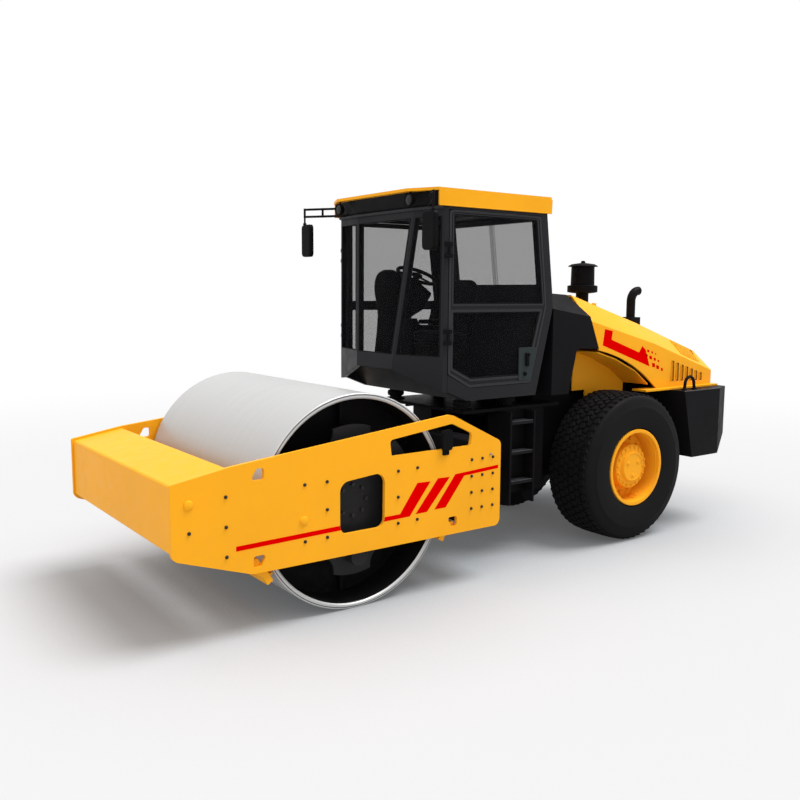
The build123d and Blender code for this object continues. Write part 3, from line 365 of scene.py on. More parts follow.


# floor, backdrop and light
# shadeReach and shadeFloor set the floor's painted shadow: how far it reaches and how dark it
# gets
studio = {"floorTone": 0.40, "floorGlow": 0.18, "shadeReach": 1.8, "shadeFloor": 0.40,
          "fadeFrom": 6.0, "fadeTo": 16.0, "skyLight": 0.60, "floorHalf": 90.0,
          "key": (3.8, 34.0, (-0.36, 0.20, 0.92)), "fill": (1.1, 90.0, (0.85, 0.28, 0.45))}


def whiteSky():
    # white where a ray sees it, dimmer where it lights
    world = bpy.data.worlds.new("studio sky")
    bpy.context.scene.world = world
    world.use_nodes = True
    tree = world.node_tree
    tree.nodes.clear()
    rays = addNode(tree, "ShaderNodeLightPath").outputs
    seen = calculate(tree, "MAXIMUM", rays["Is Camera Ray"], rays["Is Glossy Ray"])
    seen = calculate(tree, "MAXIMUM", seen, rays["Is Transmission Ray"])
    back = made(tree, "ShaderNodeBackground", {
        0: (1, 1, 1, 1), 1: ramp(tree, seen, 0.0, 1.0, studio["skyLight"], 1.0)})
    addNode(tree, "ShaderNodeOutputWorld", {0: back})


def floorFinish():
    # matt and grey near the machine, with a painted shadow under and round it, fading to white
    # far away
    material = bpy.data.materials.new("floor")
    material.use_nodes = True
    tree = material.node_tree
    tree.nodes.clear()
    place = addNode(tree, "ShaderNodeTexCoord").outputs["Object"]
    away = addNode(tree, "ShaderNodeVectorMath", {0: place}, operation="LENGTH").outputs[1]
    fade = made(tree, "ShaderNodeMapRange", {
        0: away, 1: studio["fadeFrom"], 2: studio["fadeTo"]}, interpolation_type="SMOOTHSTEP")
    # ambient occlusion paints the shadow: it darkens both the floor's colour and its glow near
    # the machine
    clear = addNode(tree, "ShaderNodeAmbientOcclusion", {"Distance": studio["shadeReach"]},
                   samples=8).outputs[1]
    clear = ramp(tree, clear, 0.0, 0.95)
    tone, glow = studio["floorTone"], studio["floorGlow"]
    low = tone * studio["shadeFloor"]
    # in the painted shadow the floor turns cool, against the yellow light bounced onto it
    matt = made(tree, "ShaderNodeBsdfDiffuse", {0: blendColours(
        tree, clear, (low * 0.86, low, low * 1.12, 1), (tone, tone, tone * 1.01, 1))})
    lifted = made(tree, "ShaderNodeEmission", {
        0: (1, 1, 1, 1), 1: ramp(tree, clear, 0.0, 1.0, glow * studio["shadeFloor"], glow)})
    near = made(tree, "ShaderNodeAddShader", {0: matt, 1: lifted})
    white = made(tree, "ShaderNodeEmission", {0: (1, 1, 1, 1), 1: 1.0})
    mixed = made(tree, "ShaderNodeMixShader", {0: fade, 1: near, 2: white})
    addNode(tree, "ShaderNodeOutputMaterial", {0: mixed})
    return material


def setStudio():
    scene = bpy.context.scene
    scene.view_settings.view_transform = "Standard"
    whiteSky()
    mesh = bpy.data.meshes.new("floor")
    reach = studio["floorHalf"]
    mesh.from_pydata([(-reach, -reach, 0), (reach, -reach, 0), (reach, reach, 0),
                      (-reach, reach, 0)], [], [(0, 1, 2, 3)])
    mesh.materials.append(floorFinish())
    floor = bpy.data.objects.new("floor", mesh)
    scene.collection.objects.link(floor)
    for name in ("key", "fill"):
        strength, angle, source = studio[name]
        lamp = bpy.data.lights.new(name + " sun", "SUN")
        lamp.energy = strength
        lamp.angle = math.radians(angle)
        sun = bpy.data.objects.new(name + " sun", lamp)
        sun.rotation_euler = Vector(source).to_track_quat("Z", "Y").to_euler()
        scene.collection.objects.link(sun)
    print("studio set")


setStudio()


# small tools for meshes
def addPiece(name, mesh, body, finish, smooth=38.0):
    piece = bpy.data.objects.new(name, mesh)
    bpy.context.scene.collection.objects.link(piece)
    if finish and not mesh.materials:
        mesh.materials.append(finish)
    mesh.shade_smooth()
    mesh.set_sharp_from_angle(angle=math.radians(smooth))
    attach(piece, body)
    return piece


def closeShape(shape, name, body, finish, smooth=38.0):
    bmesh.ops.recalc_face_normals(shape, faces=shape.faces)
    mesh = bpy.data.meshes.new(name)
    shape.to_mesh(mesh)
    shape.free()
    return addPiece(name, mesh, body, finish, smooth)


def turning(axis):
    # a frame whose third column is the axis
    ahead = Vector(axis).normalized()
    side = ahead.orthogonal().normalized()
    return Matrix((side, ahead.cross(side), ahead)).transposed()


def lathe(shape, profile, middle, axis, steps=48):
    # profile rows: radius, distance along the axis
    middle, base = Vector(middle), turning(axis)
    loops = []
    for radius, along in profile:
        count = steps if radius > 0 else 1
        loops.append([shape.verts.new(middle + base @ Vector((
            radius * math.cos(2 * math.pi * step / steps),
            radius * math.sin(2 * math.pi * step / steps), along))) for step in range(count)])
    for first, second in zip(loops, loops[1:]):
        for step in range(steps):
            after = (step + 1) % steps
            corners = []
            for corner in (first[step % len(first)], first[after % len(first)],
                           second[after % len(second)], second[step % len(second)]):
                if corner not in corners:
                    corners.append(corner)
            if len(corners) > 2:
                shape.faces.new(corners)


def turned(name, profile, rows, steps, body, finish, slot=None):
    # one profile turned at each row's place, round its axis
    shape = bmesh.new()
    for place, axis in rows:
        lathe(shape, profile, place, axis, steps)
    return closeShape(shape, name, body, finish)


def bothSides(draw):
    # draws one piece on the left and again on the right
    shape = bmesh.new()
    for way in (1, -1):
        draw(shape, way)
    return shape


def mirrored(x, y, z, axis):
    return [((x, way * y, z), axis) for way in (1, -1)]


# where a flat outline's pair and its depth go, for each plane
planes = {"XZ": lambda pair, depth: (pair[0], depth, pair[1]),
          "XY": lambda pair, depth: (pair[0], pair[1], depth),
          "YZ": lambda pair, depth: (depth, pair[0], pair[1])}


def band(shape, first, second):
    # faces between two closed rings of as many corners
    for step in range(len(first)):
        after = (step + 1) % len(first)
        shape.faces.new((first[step], first[after], second[after], second[step]))


def prism(shape, outline, low, high, plane="XZ"):
    bottom, top = [[shape.verts.new(planes[plane](pair, depth)) for pair in outline]
                   for depth in (low, high)]
    shape.faces.new(bottom)
    shape.faces.new(list(reversed(top)))
    for step in range(len(outline)):
        after = (step + 1) % len(outline)
        shape.faces.new((bottom[step], top[step], top[after], bottom[after]))


def roundedBox(shape, low, high, radius, segments=2):
    low, high = Vector(low), Vector(high)
    corners = bmesh.ops.create_cube(shape, size=1.0)["verts"]
    for corner in corners:
        for axis in range(3):
            share = corner.co[axis] + 0.5
            corner.co[axis] = low[axis] + (high[axis] - low[axis]) * share
    edges = {edge for corner in corners for edge in corner.link_edges}
    bmesh.ops.bevel(shape, geom=list(edges), offset=radius, segments=segments,
                    profile=0.5, affect="EDGES")


def tube(shape, path, radius, sides=12, closed=False):
    # a round bar along a line of points
    path = [Vector(spot) for spot in path]
    count = len(path)
    rings = []
    normal = None
    for step, spot in enumerate(path):
        before = path[step - 1] if step or closed else spot
        after = path[(step + 1) % count] if step < count - 1 or closed else spot
        ahead = (after - before).normalized()
        if normal is None:
            normal = ahead.orthogonal().normalized()
        normal = (normal - ahead * normal.dot(ahead)).normalized()
        other = ahead.cross(normal)
        rings.append([shape.verts.new(spot + (normal * math.cos(2 * math.pi * s / sides)
                                              + other * math.sin(2 * math.pi * s / sides))
                                      * radius) for s in range(sides)])
    pairs = list(zip(rings, rings[1:])) + ([(rings[-1], rings[0])] if closed else [])
    for first, second in pairs:
        band(shape, first, second)
    if not closed:
        shape.faces.new(list(reversed(rings[0])))
        shape.faces.new(rings[-1])


def filleted(corners, radius, steps=5):
    # the corners of a flat outline, rounded
    spots = []
    corners = [Vector(corner) for corner in corners]
    for step, corner in enumerate(corners):
        before = corners[step - 1] - corner
        after = corners[(step + 1) % len(corners)] - corner
        half = before.angle(after) / 2
        reach = min(radius / math.tan(half), before.length * 0.45, after.length * 0.45)
        start, end = corner + before.normalized() * reach, corner + after.normalized() * reach
        for index in range(steps + 1):
            share = index / steps
            spots.append(start * (1 - share) ** 2 + corner * 2 * share * (1 - share)
                         + end * share ** 2)
    return spots


def inset(outline, width):
    # each corner of a flat outline moved inwards by width
    spots = [Vector(corner) for corner in outline]
    count = len(spots)
    area = sum(spots[k].x * spots[(k + 1) % count].y - spots[(k + 1) % count].x * spots[k].y
               for k in range(count))
    side = 1 if area > 0 else -1
    inner = []
    for step, corner in enumerate(spots):
        before = (corner - spots[step - 1]).normalized()
        after = (spots[(step + 1) % count] - corner).normalized()
        first = Vector((-before.y, before.x)) * side
        second = Vector((-after.y, after.x)) * side
        inner.append(corner + (first + second) * width / (1 + first.dot(second)))
    return inner


def ring(shape, outline, width, low, high):
    # a flat frame: the outline, and the same one inset, from low to high
    inner = inset(outline, width)
    loops = [[shape.verts.new(planes["XZ"](pair, depth)) for pair in line]
             for line, depth in ((outline, low), (outline, high), (inner, high), (inner, low))]
    for first, second in zip(loops, loops[1:] + loops[:1]):
        band(shape, first, second)


# small tools for Geometry Nodes
def startTree(name, inputs):
    tree = bpy.data.node_groups.new(name, "GeometryNodeTree")
    tree.interface.new_socket("Geometry", in_out="INPUT", socket_type="NodeSocketGeometry")
    tree.interface.new_socket("Geometry", in_out="OUTPUT", socket_type="NodeSocketGeometry")
    for label, value in inputs:
        kind = ("Int" if isinstance(value, int) else "Vector" if isinstance(value, tuple)
                else "Material" if value is None else "Float")
        socket = tree.interface.new_socket(label, in_out="INPUT",
                                           socket_type="NodeSocket" + kind)
        if value is not None:
            socket.default_value = value
    return tree, addNode(tree, "NodeGroupInput").outputs


def endTree(tree, geometry, material):
    real = addNode(tree, "GeometryNodeRealizeInstances", {"Geometry": geometry})
    done = addNode(tree, "GeometryNodeSetMaterial", {"Geometry": real.outputs[0],
                                                     "Material": material})
    out = addNode(tree, "NodeGroupOutput")
    tree.links.new(done.outputs[0], out.inputs[0])
    return tree


def moved(tree, geometry, up):
    return made(tree, "GeometryNodeTransform", {
        "Geometry": geometry, "Translation": combined(tree, z=up)})


def joined(tree, *parts):
    node = addNode(tree, "GeometryNodeJoinGeometry")
    for part in reversed(parts):
        tree.links.new(part, node.inputs[0])
    return node.outputs[0]


def grow(name, tree, sizes, body, base=None, smooth=38.0):
    # runs a tree on a seed mesh and keeps the plain mesh it makes
    seed = base or bpy.data.meshes.new(name + " seed")
    holder = bpy.data.objects.new(name + " seed", seed)
    bpy.context.scene.collection.objects.link(holder)
    modifier = holder.modifiers.new("grow", "NODES")
    modifier.node_group = tree
    for item in tree.interface.items_tree:
        if item.in_out == "INPUT" and item.name in sizes:
            modifier[item.identifier] = sizes[item.name]
    bpy.context.view_layer.update()
    graph = bpy.context.evaluated_depsgraph_get()
    mesh = bpy.data.meshes.new_from_object(holder.evaluated_get(graph))
    bpy.data.objects.remove(holder)
    mesh.name = name
    return addPiece(name, mesh, body, None, smooth)


def spotMesh(name, rows):
    # rows: place, outward direction
    mesh = bpy.data.meshes.new(name)
    mesh.from_pydata([place for place, _ in rows], [], [])
    facing = mesh.attributes.new("outward", "FLOAT_VECTOR", "POINT")
    for index, (_, outward) in enumerate(rows):
        facing.data[index].vector = outward
    return mesh


# a hexagon head on a washer, at each point of the seed mesh
hexHead = {"cornerShare": 0.5774, "shankShare": 0.8, "crownDepth": 0.2, "crownShare": 0.86,
           "washerCorners": 20, "mostTurn": 1.05}


def boltTree():
    tree, given = startTree("boltHeads", [
        ("Across Flats", 0.03), ("Head Height", 0.012), ("Washer Diameter", 0.042),
        ("Washer Height", 0.003), ("Seed", 4), ("Material", None)])
    lift = given["Washer Height"]
    across = times(tree, given["Across Flats"], hexHead["cornerShare"])
    high = times(tree, given["Head Height"], hexHead["shankShare"])
    head = made(tree, "GeometryNodeMeshCylinder", {"Vertices": 6, "Radius": across,
                                                   "Depth": high})
    head = moved(tree, head, calculate(tree, "ADD", lift, times(tree, high, 0.5)))
    crown = made(tree, "GeometryNodeMeshCone", {
        "Vertices": 6, "Radius Top": times(tree, across, hexHead["crownShare"]),
        "Radius Bottom": across,
        "Depth": times(tree, given["Head Height"], hexHead["crownDepth"])})
    crown = moved(tree, crown, calculate(tree, "ADD", lift, high))
    washer = made(tree, "GeometryNodeMeshCylinder", {
        "Vertices": hexHead["washerCorners"],
        "Radius": times(tree, given["Washer Diameter"], 0.5), "Depth": lift})
    whole = joined(tree, head, crown, moved(tree, washer, times(tree, lift, 0.5)))
    spin = made(tree, "FunctionNodeRandomValue", {
        "Min": (0, 0, 0), "Max": (0, 0, hexHead["mostTurn"]), "Seed": given["Seed"]},
        data_type="FLOAT_VECTOR")
    outward = made(tree, "GeometryNodeInputNamedAttribute", {"Name": "outward"},
                   data_type="FLOAT_VECTOR")
    facing = made(tree, "FunctionNodeAlignRotationToVector", {"Vector": outward}, axis="Z")
    turned = made(tree, "FunctionNodeRotateRotation", {"Rotation": facing, "Rotate By": spin},
                  rotation_space="LOCAL")
    placed = made(tree, "GeometryNodeInstanceOnPoints", {
        "Points": given["Geometry"], "Instance": whole, "Rotation": turned})
    return endTree(tree, placed, given["Material"])


boltHeads = boltTree()
# across flats, head height, washer diameter and height
boltSizes = {"hub": (0.022, 0.012, 0.030, 0.004), "wheel": (0.032, 0.024, 0.046, 0.005),
             "plate": (0.020, 0.008, 0.027, 0.002), "hanger": (0.030, 0.015, 0.044, 0.003)}


def addBolts(name, kind, rows, finish, body):
    sizes = dict(zip(("Across Flats", "Head Height", "Washer Diameter", "Washer Height"),
                     boltSizes[kind]))
    grow(name, boltHeads, {**sizes, "Material": finish}, body,
         spotMesh(kind + " bolt spots", rows))


print("tools ready")


# tyres
tread = {"Rows": 7, "Blocks Around": 58, "Tread Radius": 0.744, "Row Pitch": 0.066,
         "Block Length": 0.066, "Block Width": 0.053, "Block Height": 0.022,
         "Slant": 0.42, "Crown": 5.2, "Drawn In": 0.16}
# half of a tyre's section: radius, distance from its middle plane
tyreSection = (
    (0.366, 0.237), (0.391, 0.240), (0.399, 0.262), (0.420, 0.269), (0.455, 0.274),
    (0.505, 0.280), (0.555, 0.2835), (0.592, 0.2830), (0.600, 0.2838), (0.607, 0.2838),
    (0.615, 0.2795), (0.650, 0.272), (0.685, 0.262), (0.703, 0.254), (0.713, 0.243),
    (0.7185, 0.228), (0.7210, 0.20), (0.7240, 0.14), (0.7255, 0.07), (0.7260, 0.0))


def treadTree():
    tree, given = startTree("treadBlocks", [
        ("Rows", 7), ("Blocks Around", 58), ("Tread Radius", 0.744), ("Row Pitch", 0.066),
        ("Block Length", 0.066), ("Block Width", 0.053), ("Block Height", 0.022),
        ("Slant", 0.42), ("Crown", 5.2), ("Drawn In", 0.16), ("Centre", (0.0, 0.0, 0.0)),
        ("Material", None)])
    around = given["Blocks Around"]
    points = made(tree, "GeometryNodeMeshLine", {"Count": times(tree, given["Rows"], around)})
    index = made(tree, "GeometryNodeInputIndex")
    row = calculate(tree, "FLOOR", calculate(tree, "DIVIDE", index, around))
    spot = calculate(tree, "MODULO", index, around)
    odd = calculate(tree, "MODULO", row, 2.0)
    middle = times(tree, calculate(tree, "SUBTRACT", given["Rows"], 1.0), 0.5)
    along = times(tree, calculate(tree, "SUBTRACT", row, middle), given["Row Pitch"])
    share = calculate(tree, "DIVIDE", calculate(tree, "MULTIPLY_ADD", odd, 0.5, spot), around)
    turn = times(tree, share, 2 * math.pi)
    # the tread falls away to its shoulders
    drop = calculate(tree, "POWER", calculate(tree, "ABSOLUTE", along), 4.0)
    drop = times(tree, drop, given["Crown"])
    radius = calculate(tree, "SUBTRACT", given["Tread Radius"], drop)
    radius = calculate(tree, "SUBTRACT", radius, times(tree, given["Block Height"], 0.5))
    place = combined(tree, times(tree, radius, calculate(tree, "COSINE", turn)), along,
                     times(tree, radius, calculate(tree, "SINE", turn)))
    place = made(tree, "ShaderNodeVectorMath", {0: place, 1: given["Centre"]}, operation="ADD")
    points = made(tree, "GeometryNodeSetPosition", {"Geometry": points, "Position": place})
    size = combined(tree, given["Block Height"], given["Block Width"], given["Block Length"])
    block = made(tree, "GeometryNodeMeshCube", {"Size": size})
    # the outer face of each block is drawn in
    own = made(tree, "GeometryNodeInputPosition")
    split = addNode(tree, "ShaderNodeSeparateXYZ", {0: own}).outputs
    outer = calculate(tree, "GREATER_THAN", split[0], 0.0)
    draw = calculate(tree, "SUBTRACT", 1.0, times(tree, outer, given["Drawn In"]))
    tapered = combined(tree, split[0], times(tree, split[1], draw),
                       times(tree, split[2], draw))
    block = made(tree, "GeometryNodeSetPosition", {"Geometry": block, "Position": tapered})
    lean = times(tree, given["Slant"], calculate(tree, "MULTIPLY_ADD", odd, -2.0, 1.0))
    rotation = made(tree, "FunctionNodeEulerToRotation", {
        0: combined(tree, lean, times(tree, turn, -1.0))})
    placed = made(tree, "GeometryNodeInstanceOnPoints", {
        "Points": points, "Instance": block, "Rotation": rotation})
    return endTree(tree, placed, given["Material"])


def makeTyres():
    blocks = treadTree()
    section = list(tyreSection) + [(radius, -along) for radius, along
                                   in reversed(tyreSection[:-1])]
    for side in ("left", "right"):
        low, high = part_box("tyre_" + side)
        centre = (low + high) / 2
        body = side + "_wheel"
        shape = bmesh.new()
        lathe(shape, section, centre, (0, 1, 0), 120)
        casing = closeShape(shape, "tyre_casing_" + side, body, rubberFinish)
        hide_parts("tyre_" + side)
        grow("tread_blocks_" + side, blocks, {
            **tread, "Centre": tuple(centre), "Material": rubberFinish}, body,
            smooth=20.0)
    print("tyres made")


makeTyres()


# wheel fittings
# bolts: count, circle, distance from the tyre's middle plane and first angle
wheelParts = {"hub": (18, 0.196, 0.1925, 0.0), "wheel": (14, 0.288, 0.060, 0.1),
              "cover": (3, 0.085, 0.221, 0.5), "valveAngle": -1.85, "valveFoot": 0.338,
              "valveBar": 0.007}
# turned profiles: radius, distance along the axis
coverBolt = ((0.0, 0.010), (0.013, 0.010), (0.016, 0.006), (0.024, 0.005), (0.025, 0.0),
             (0.0, 0.0))
coverRim = ((0.132, 0.220), (0.134, 0.227), (0.142, 0.227), (0.146, 0.221), (0.146, 0.215),
            (0.132, 0.215))
hubRib = ((0.205, 0.188), (0.207, 0.195), (0.214, 0.195), (0.217, 0.189), (0.217, 0.183),
          (0.205, 0.183))
lockRing = ((0.3655, 0.2655), (0.378, 0.2675), (0.3845, 0.2655), (0.3845, 0.255),
            (0.3655, 0.255))
rolledEdge = ((0.3515, 0.230), (0.3455, 0.228), (0.3435, 0.222), (0.3455, 0.216),
              (0.3515, 0.214))
valveCap = ((0.0, 0.0), (0.010, 0.0), (0.010, 0.022), (0.0, 0.022))


def ringRows(centre, outward, radius, count, start=0.0):
    base = turning(outward)
    return [(Vector(centre) + base @ Vector((radius * math.cos(start + 2 * math.pi * k / count),
                                             radius * math.sin(start + 2 * math.pi * k / count),
                                             0)), outward) for k in range(count)]


def fitWheels():
    for side, way in (("left", 1), ("right", -1)):
        low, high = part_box("tyre_" + side)
        centre = (low + high) / 2
        outward = (0, way, 0)
        body = side + "_wheel"
        for kind, name in (("hub", "hub_bolts_"), ("wheel", "wheel_nuts_")):
            count, circle, out, start = wheelParts[kind]
            rows = ringRows(centre + Vector((0, way * out, 0)), outward, circle, count, start)
            addBolts(name + side, kind, rows, rimPaint, body)
        shape = bmesh.new()
        count, circle, out, start = wheelParts["cover"]
        for index in range(count):
            turn = 2 * math.pi * index / count + start
            spot = centre + Vector((circle * math.cos(turn), way * out, circle * math.sin(turn)))
            lathe(shape, coverBolt, spot, outward, 16)
        lathe(shape, coverRim, centre, outward, 64)
        lathe(shape, hubRib, centre, outward, 64)
        closeShape(shape, "hub_cover_" + side, body, rimPaint)
        shape = bmesh.new()
        lathe(shape, lockRing, centre, outward, 96)
        lathe(shape, rolledEdge, centre, outward, 96)
        closeShape(shape, "lock_ring_" + side, body, rimPaint)
        # the valve stands on the rim's inner face and bends outwards
        turn = wheelParts["valveAngle"]
        arm = Vector((math.cos(turn), 0, math.sin(turn)))

        def onValve(inwards, out):
            return centre + arm * (wheelParts["valveFoot"] - inwards) + Vector((0, way * out, 0))
        shape = bmesh.new()
        tube(shape, [onValve(0.0, 0.10), onValve(0.02, 0.13), onValve(0.03, 0.19)],
             wheelParts["valveBar"], 10)
        lathe(shape, valveCap, onValve(0.03, 0.185), outward, 12)
        closeShape(shape, "tyre_valve_" + side, body, rimPaint)
    print("wheels fitted")


fitWheels()


# side plate bolts, plugs and stripes; x here is measured from the drum's axle
plateBolts = [
    (0.503, 1.059), (0.503, 0.629), (0.311, 1.059), (0.311, 0.845), (0.311, 0.632),
    (-0.347, 1.063), (-0.347, 0.852), (-0.347, 0.639), (-0.538, 1.069), (-0.538, 0.643),
    (1.132, 1.052), (1.132, 0.837), (1.132, 0.622), (1.405, 0.834),
] + [(x, z) for x in (-1.112, -1.230, -1.350) for z in (1.072, 0.930, 0.790, 0.650)]
platePlugs = [(0.512, 0.790), (1.405, 1.031)]
stripeShapes = (
    ((1.060, 0.650), (1.060, 0.686), (0.1985, 0.703), (0.1965, 0.685), (0.190, 0.667)),
    ((-0.209, 0.673), (-0.462, 0.678), (-0.672, 0.940), (-0.538, 0.944), (-0.366, 0.711),
     (-0.2162, 0.709), (-0.2145, 0.691)),
    ((-0.520, 0.688), (-0.637, 0.690), (-0.875, 0.953), (-0.750, 0.956)),
    ((-0.714, 0.698), (-0.833, 0.700), (-1.030, 0.944), (-1.412, 0.966), (-1.412, 0.996),
     (-1.062, 0.975), (-0.934, 0.969)),
)
plugProfile = ((0.0, 0.013), (0.024, 0.013), (0.031, 0.010), (0.036, 0.0), (0.0, -0.002))


def onPlates(spots):
    # the spots on the outer faces of both side plates
    return [((drumMiddle.x + x, way * plateHigh.y, z), (0, way, 0))
            for way in (1, -1) for x, z in spots]


def stickers(name, outlines, face, body):
    # thin films on both sides of a body
    def draw(shape, way):
        for outline in outlines:
            prism(shape, outline, way * (face - 0.0005), way * (face + 0.0007))
    closeShape(bothSides(draw), name, body, redPaint)


def dressPlates():
    addBolts("plate_bolts", "plate", onPlates(plateBolts), boltFinish, "drum_frame")
    turned("plate_plugs", plugProfile, onPlates(platePlugs), 28, "drum_frame", yellowPaint,
           "yellow_paint")
    outlines = [[(drumMiddle.x + x, z) for x, z in outline] for outline in stripeShapes]
    stickers("plate_stripes", outlines, plateHigh.y, "drum_frame")
    print("plates dressed")


dressPlates()


# the hood's band and dots
hoodBand = ((-1.418, 2.118), (-1.536, 2.095), (-1.524, 2.008), (-1.955, 1.866),
            (-2.004, 1.930), (-2.062, 1.888), (-2.134, 1.712), (-1.393, 1.956))
# dots: middle x, z, and half size
hoodDots = (
    (-2.103, 1.875, 0.0195), (-2.169, 1.857, 0.015), (-2.226, 1.840, 0.0105),
    (-2.086, 1.830, 0.015), (-2.148, 1.804, 0.0255), (-2.216, 1.784, 0.021),
    (-2.278, 1.763, 0.015), (-2.200, 1.722, 0.030), (-2.269, 1.697, 0.027),
    (-2.341, 1.671, 0.021),
)
# a dot's corners, as shares of its half size
dotCorners = ((-1.0, -0.8), (0.7, -0.6), (1.0, 0.9), (-0.7, 0.6))
# the hood's long edges: x, shoulder height, ridge height
hoodEdges = ((-1.185, 2.206, 2.452), (-2.227, 1.941, 2.148), (-3.215, 1.623, 1.828))
# the slots' covers: heights at the first one and their fall to the next, half width, bar
# edge: the width of the black frame of painted shade round each slot
louvres = {"count": 7, "from": -2.525, "pitch": 0.083, "low": 1.546, "high": 1.754,
           "lowFall": 0.0028, "highFall": 0.0245, "half": 0.022, "edge": 0.0085,
           "bar": 0.0055, "bend": 0.0045}
# the vents on the chamfers: shares run down from the ridge
vent = {"from": -2.755, "to": -3.150, "top": 0.10, "bottom": 0.80, "fromLean": 0.03,
        "toLean": 0.12, "bar": 0.006, "rise": 0.003, "slats": 9, "slatShare": 0.86,
        "shiftShare": 0.53, "slatWidth": 0.010, "slatDepth": 0.0035, "slatLean": 0.35}
catches = {"at": -1.565, "x": (-1.590, -1.545), "y": (0.500, 0.528), "rise": (-0.004, 0.030),
           "corner": 0.005}


def onChamfer(x, share):
    # share runs from 0 at the ridge to 1 at the shoulder
    first, second = hoodEdges[:2] if x > hoodEdges[1][0] else hoodEdges[1:]
    along = (x - first[0]) / (second[0] - first[0])
    shoulder = first[1] + (second[1] - first[1]) * along
    ridge = first[2] + (second[2] - first[2]) * along
    return Vector((x, 0.55 + 0.25 * share, ridge + (shoulder - ridge) * share))


def slatTree():
    tree, given = startTree("ventSlats", [
        ("Slats", 9), ("Start", (0.0, 0.0, 0.0)), ("Step", (0.0, 0.0, 0.0)),
        ("Slat Size", (0.3, 0.01, 0.004)), ("Turn", (0.0, 0.0, 0.0)), ("Material", None)])
    points = made(tree, "GeometryNodeMeshLine", {
        "Count": given["Slats"], "Start Location": given["Start"],
        "Offset": given["Step"]})
    slat = made(tree, "GeometryNodeMeshCube", {"Size": given["Slat Size"]})
    rotation = made(tree, "FunctionNodeEulerToRotation", {0: given["Turn"]})
    placed = made(tree, "GeometryNodeInstanceOnPoints", {
        "Points": points, "Instance": slat, "Rotation": rotation})
    return endTree(tree, placed, given["Material"])


ventSlats = slatTree()


def dressVent(frame, back, side, way):
    def onSide(spot):
        return Vector((spot.x, way * spot.y, spot.z))
    corners = [onChamfer(vent["from"], vent["top"]), onChamfer(vent["to"], vent["top"]),
               onChamfer(vent["to"] + vent["toLean"], vent["bottom"]),
               onChamfer(vent["from"] + vent["fromLean"], vent["bottom"])]
    along = (corners[1] - corners[0]).normalized()
    down = (corners[3] - corners[0]).normalized()
    outward = down.cross(along).normalized()
    if outward.z < 0:
        outward = -outward
    # a thin black sheet on the chamfer under the slats: painted shade for the dark between them
    inner, outer = [[back.verts.new(onSide(corner) + onSide(outward) * rise)
                     for corner in corners] for rise in (-0.0005, 0.0012)]
    back.faces.new(outer)
    back.faces.new(list(reversed(inner)))
    band(back, inner, outer)
    corners = [corner + outward * vent["rise"] for corner in corners]
    tube(frame, [onSide(corner) for corner in corners], vent["bar"], 8, closed=True)
    first = corners[0] * 0.94 + corners[3] * 0.06
    last = corners[3] * 0.97 + corners[0] * 0.03
    length = (corners[1] - corners[0]).length * vent["slatShare"]
    start = onSide(first + along * length * vent["shiftShare"])
    step = onSide((last - first) / (vent["slats"] - 1))
    tilt = math.atan2(outward.y, outward.z) + vent["slatLean"]
    turn = Matrix.Rotation(math.pi - math.atan2(along.z, along.x), 4, "Y") \
        @ Matrix.Rotation(-way * tilt, 4, "X")
    grow("vent_slats_" + side, ventSlats, {
        "Slats": vent["slats"], "Start": tuple(start), "Step": tuple(step),
        "Slat Size": (length, vent["slatWidth"], vent["slatDepth"]),
        "Turn": tuple(turn.to_euler()), "Material": yellowPaint}, "engine_hood")


def dressLouvres(side):
    # over the slots in the hood's sides: a black frame of painted shade round each, and a bent
    # lip
    slotShades, lips = bmesh.new(), bmesh.new()
    half, bend = louvres["half"], louvres["bend"]
    for index in range(louvres["count"]):
        x = louvres["from"] - louvres["pitch"] * index
        low = louvres["low"] - louvres["lowFall"] * index
        high = louvres["high"] - louvres["highFall"] * index
        for way in (1, -1):
            ring(slotShades, [(x - half, low - 0.006), (x + half, low - 0.006),
                            (x + half, high + 0.006), (x - half, high - 0.004)],
                 louvres["edge"], way * (side - 0.0005), way * (side + 0.0012))
            tube(lips, [(x + half + 0.002, way * (side + 0.001), low - 0.006),
                        (x + half, way * (side + bend), low + 0.010),
                        (x + half, way * (side + bend), high - 0.006),
                        (x + half + 0.002, way * (side + 0.001), high + 0.008)],
                 louvres["bar"], 8)
    closeShape(slotShades, "louvre_slot_shades", "engine_hood", blackPaint)
    closeShape(lips, "louvre_lips", "engine_hood", yellowPaint)


def dressHood():
    side = hoodHigh.y
    outlines = [hoodBand] + [[(x + size * across, z + size * up) for across, up in dotCorners]
                             for x, z, size in hoodDots]
    stickers("hood_bands", outlines, side, "engine_hood")
    frame, back = bmesh.new(), bmesh.new()
    dressVent(frame, back, "left", 1)
    dressVent(frame, back, "right", -1)
    closeShape(frame, "vent_frames", "engine_hood", yellowPaint)
    # the vents' black sheets are painted shade
    closeShape(back, "vent_shade_sheets", "engine_hood", blackPaint)
    dressLouvres(side)

    def catch(shape, way):
        near, far = sorted(way * y for y in catches["y"])
        top = onChamfer(catches["at"], 0.0).z
        roundedBox(shape, (catches["x"][0], near, top + catches["rise"][0]),
                   (catches["x"][1], far, top + catches["rise"][1]), catches["corner"])
    closeShape(bothSides(catch), "hood_catches", "engine_hood", yellowPaint)
    print("hood dressed")


dressHood()


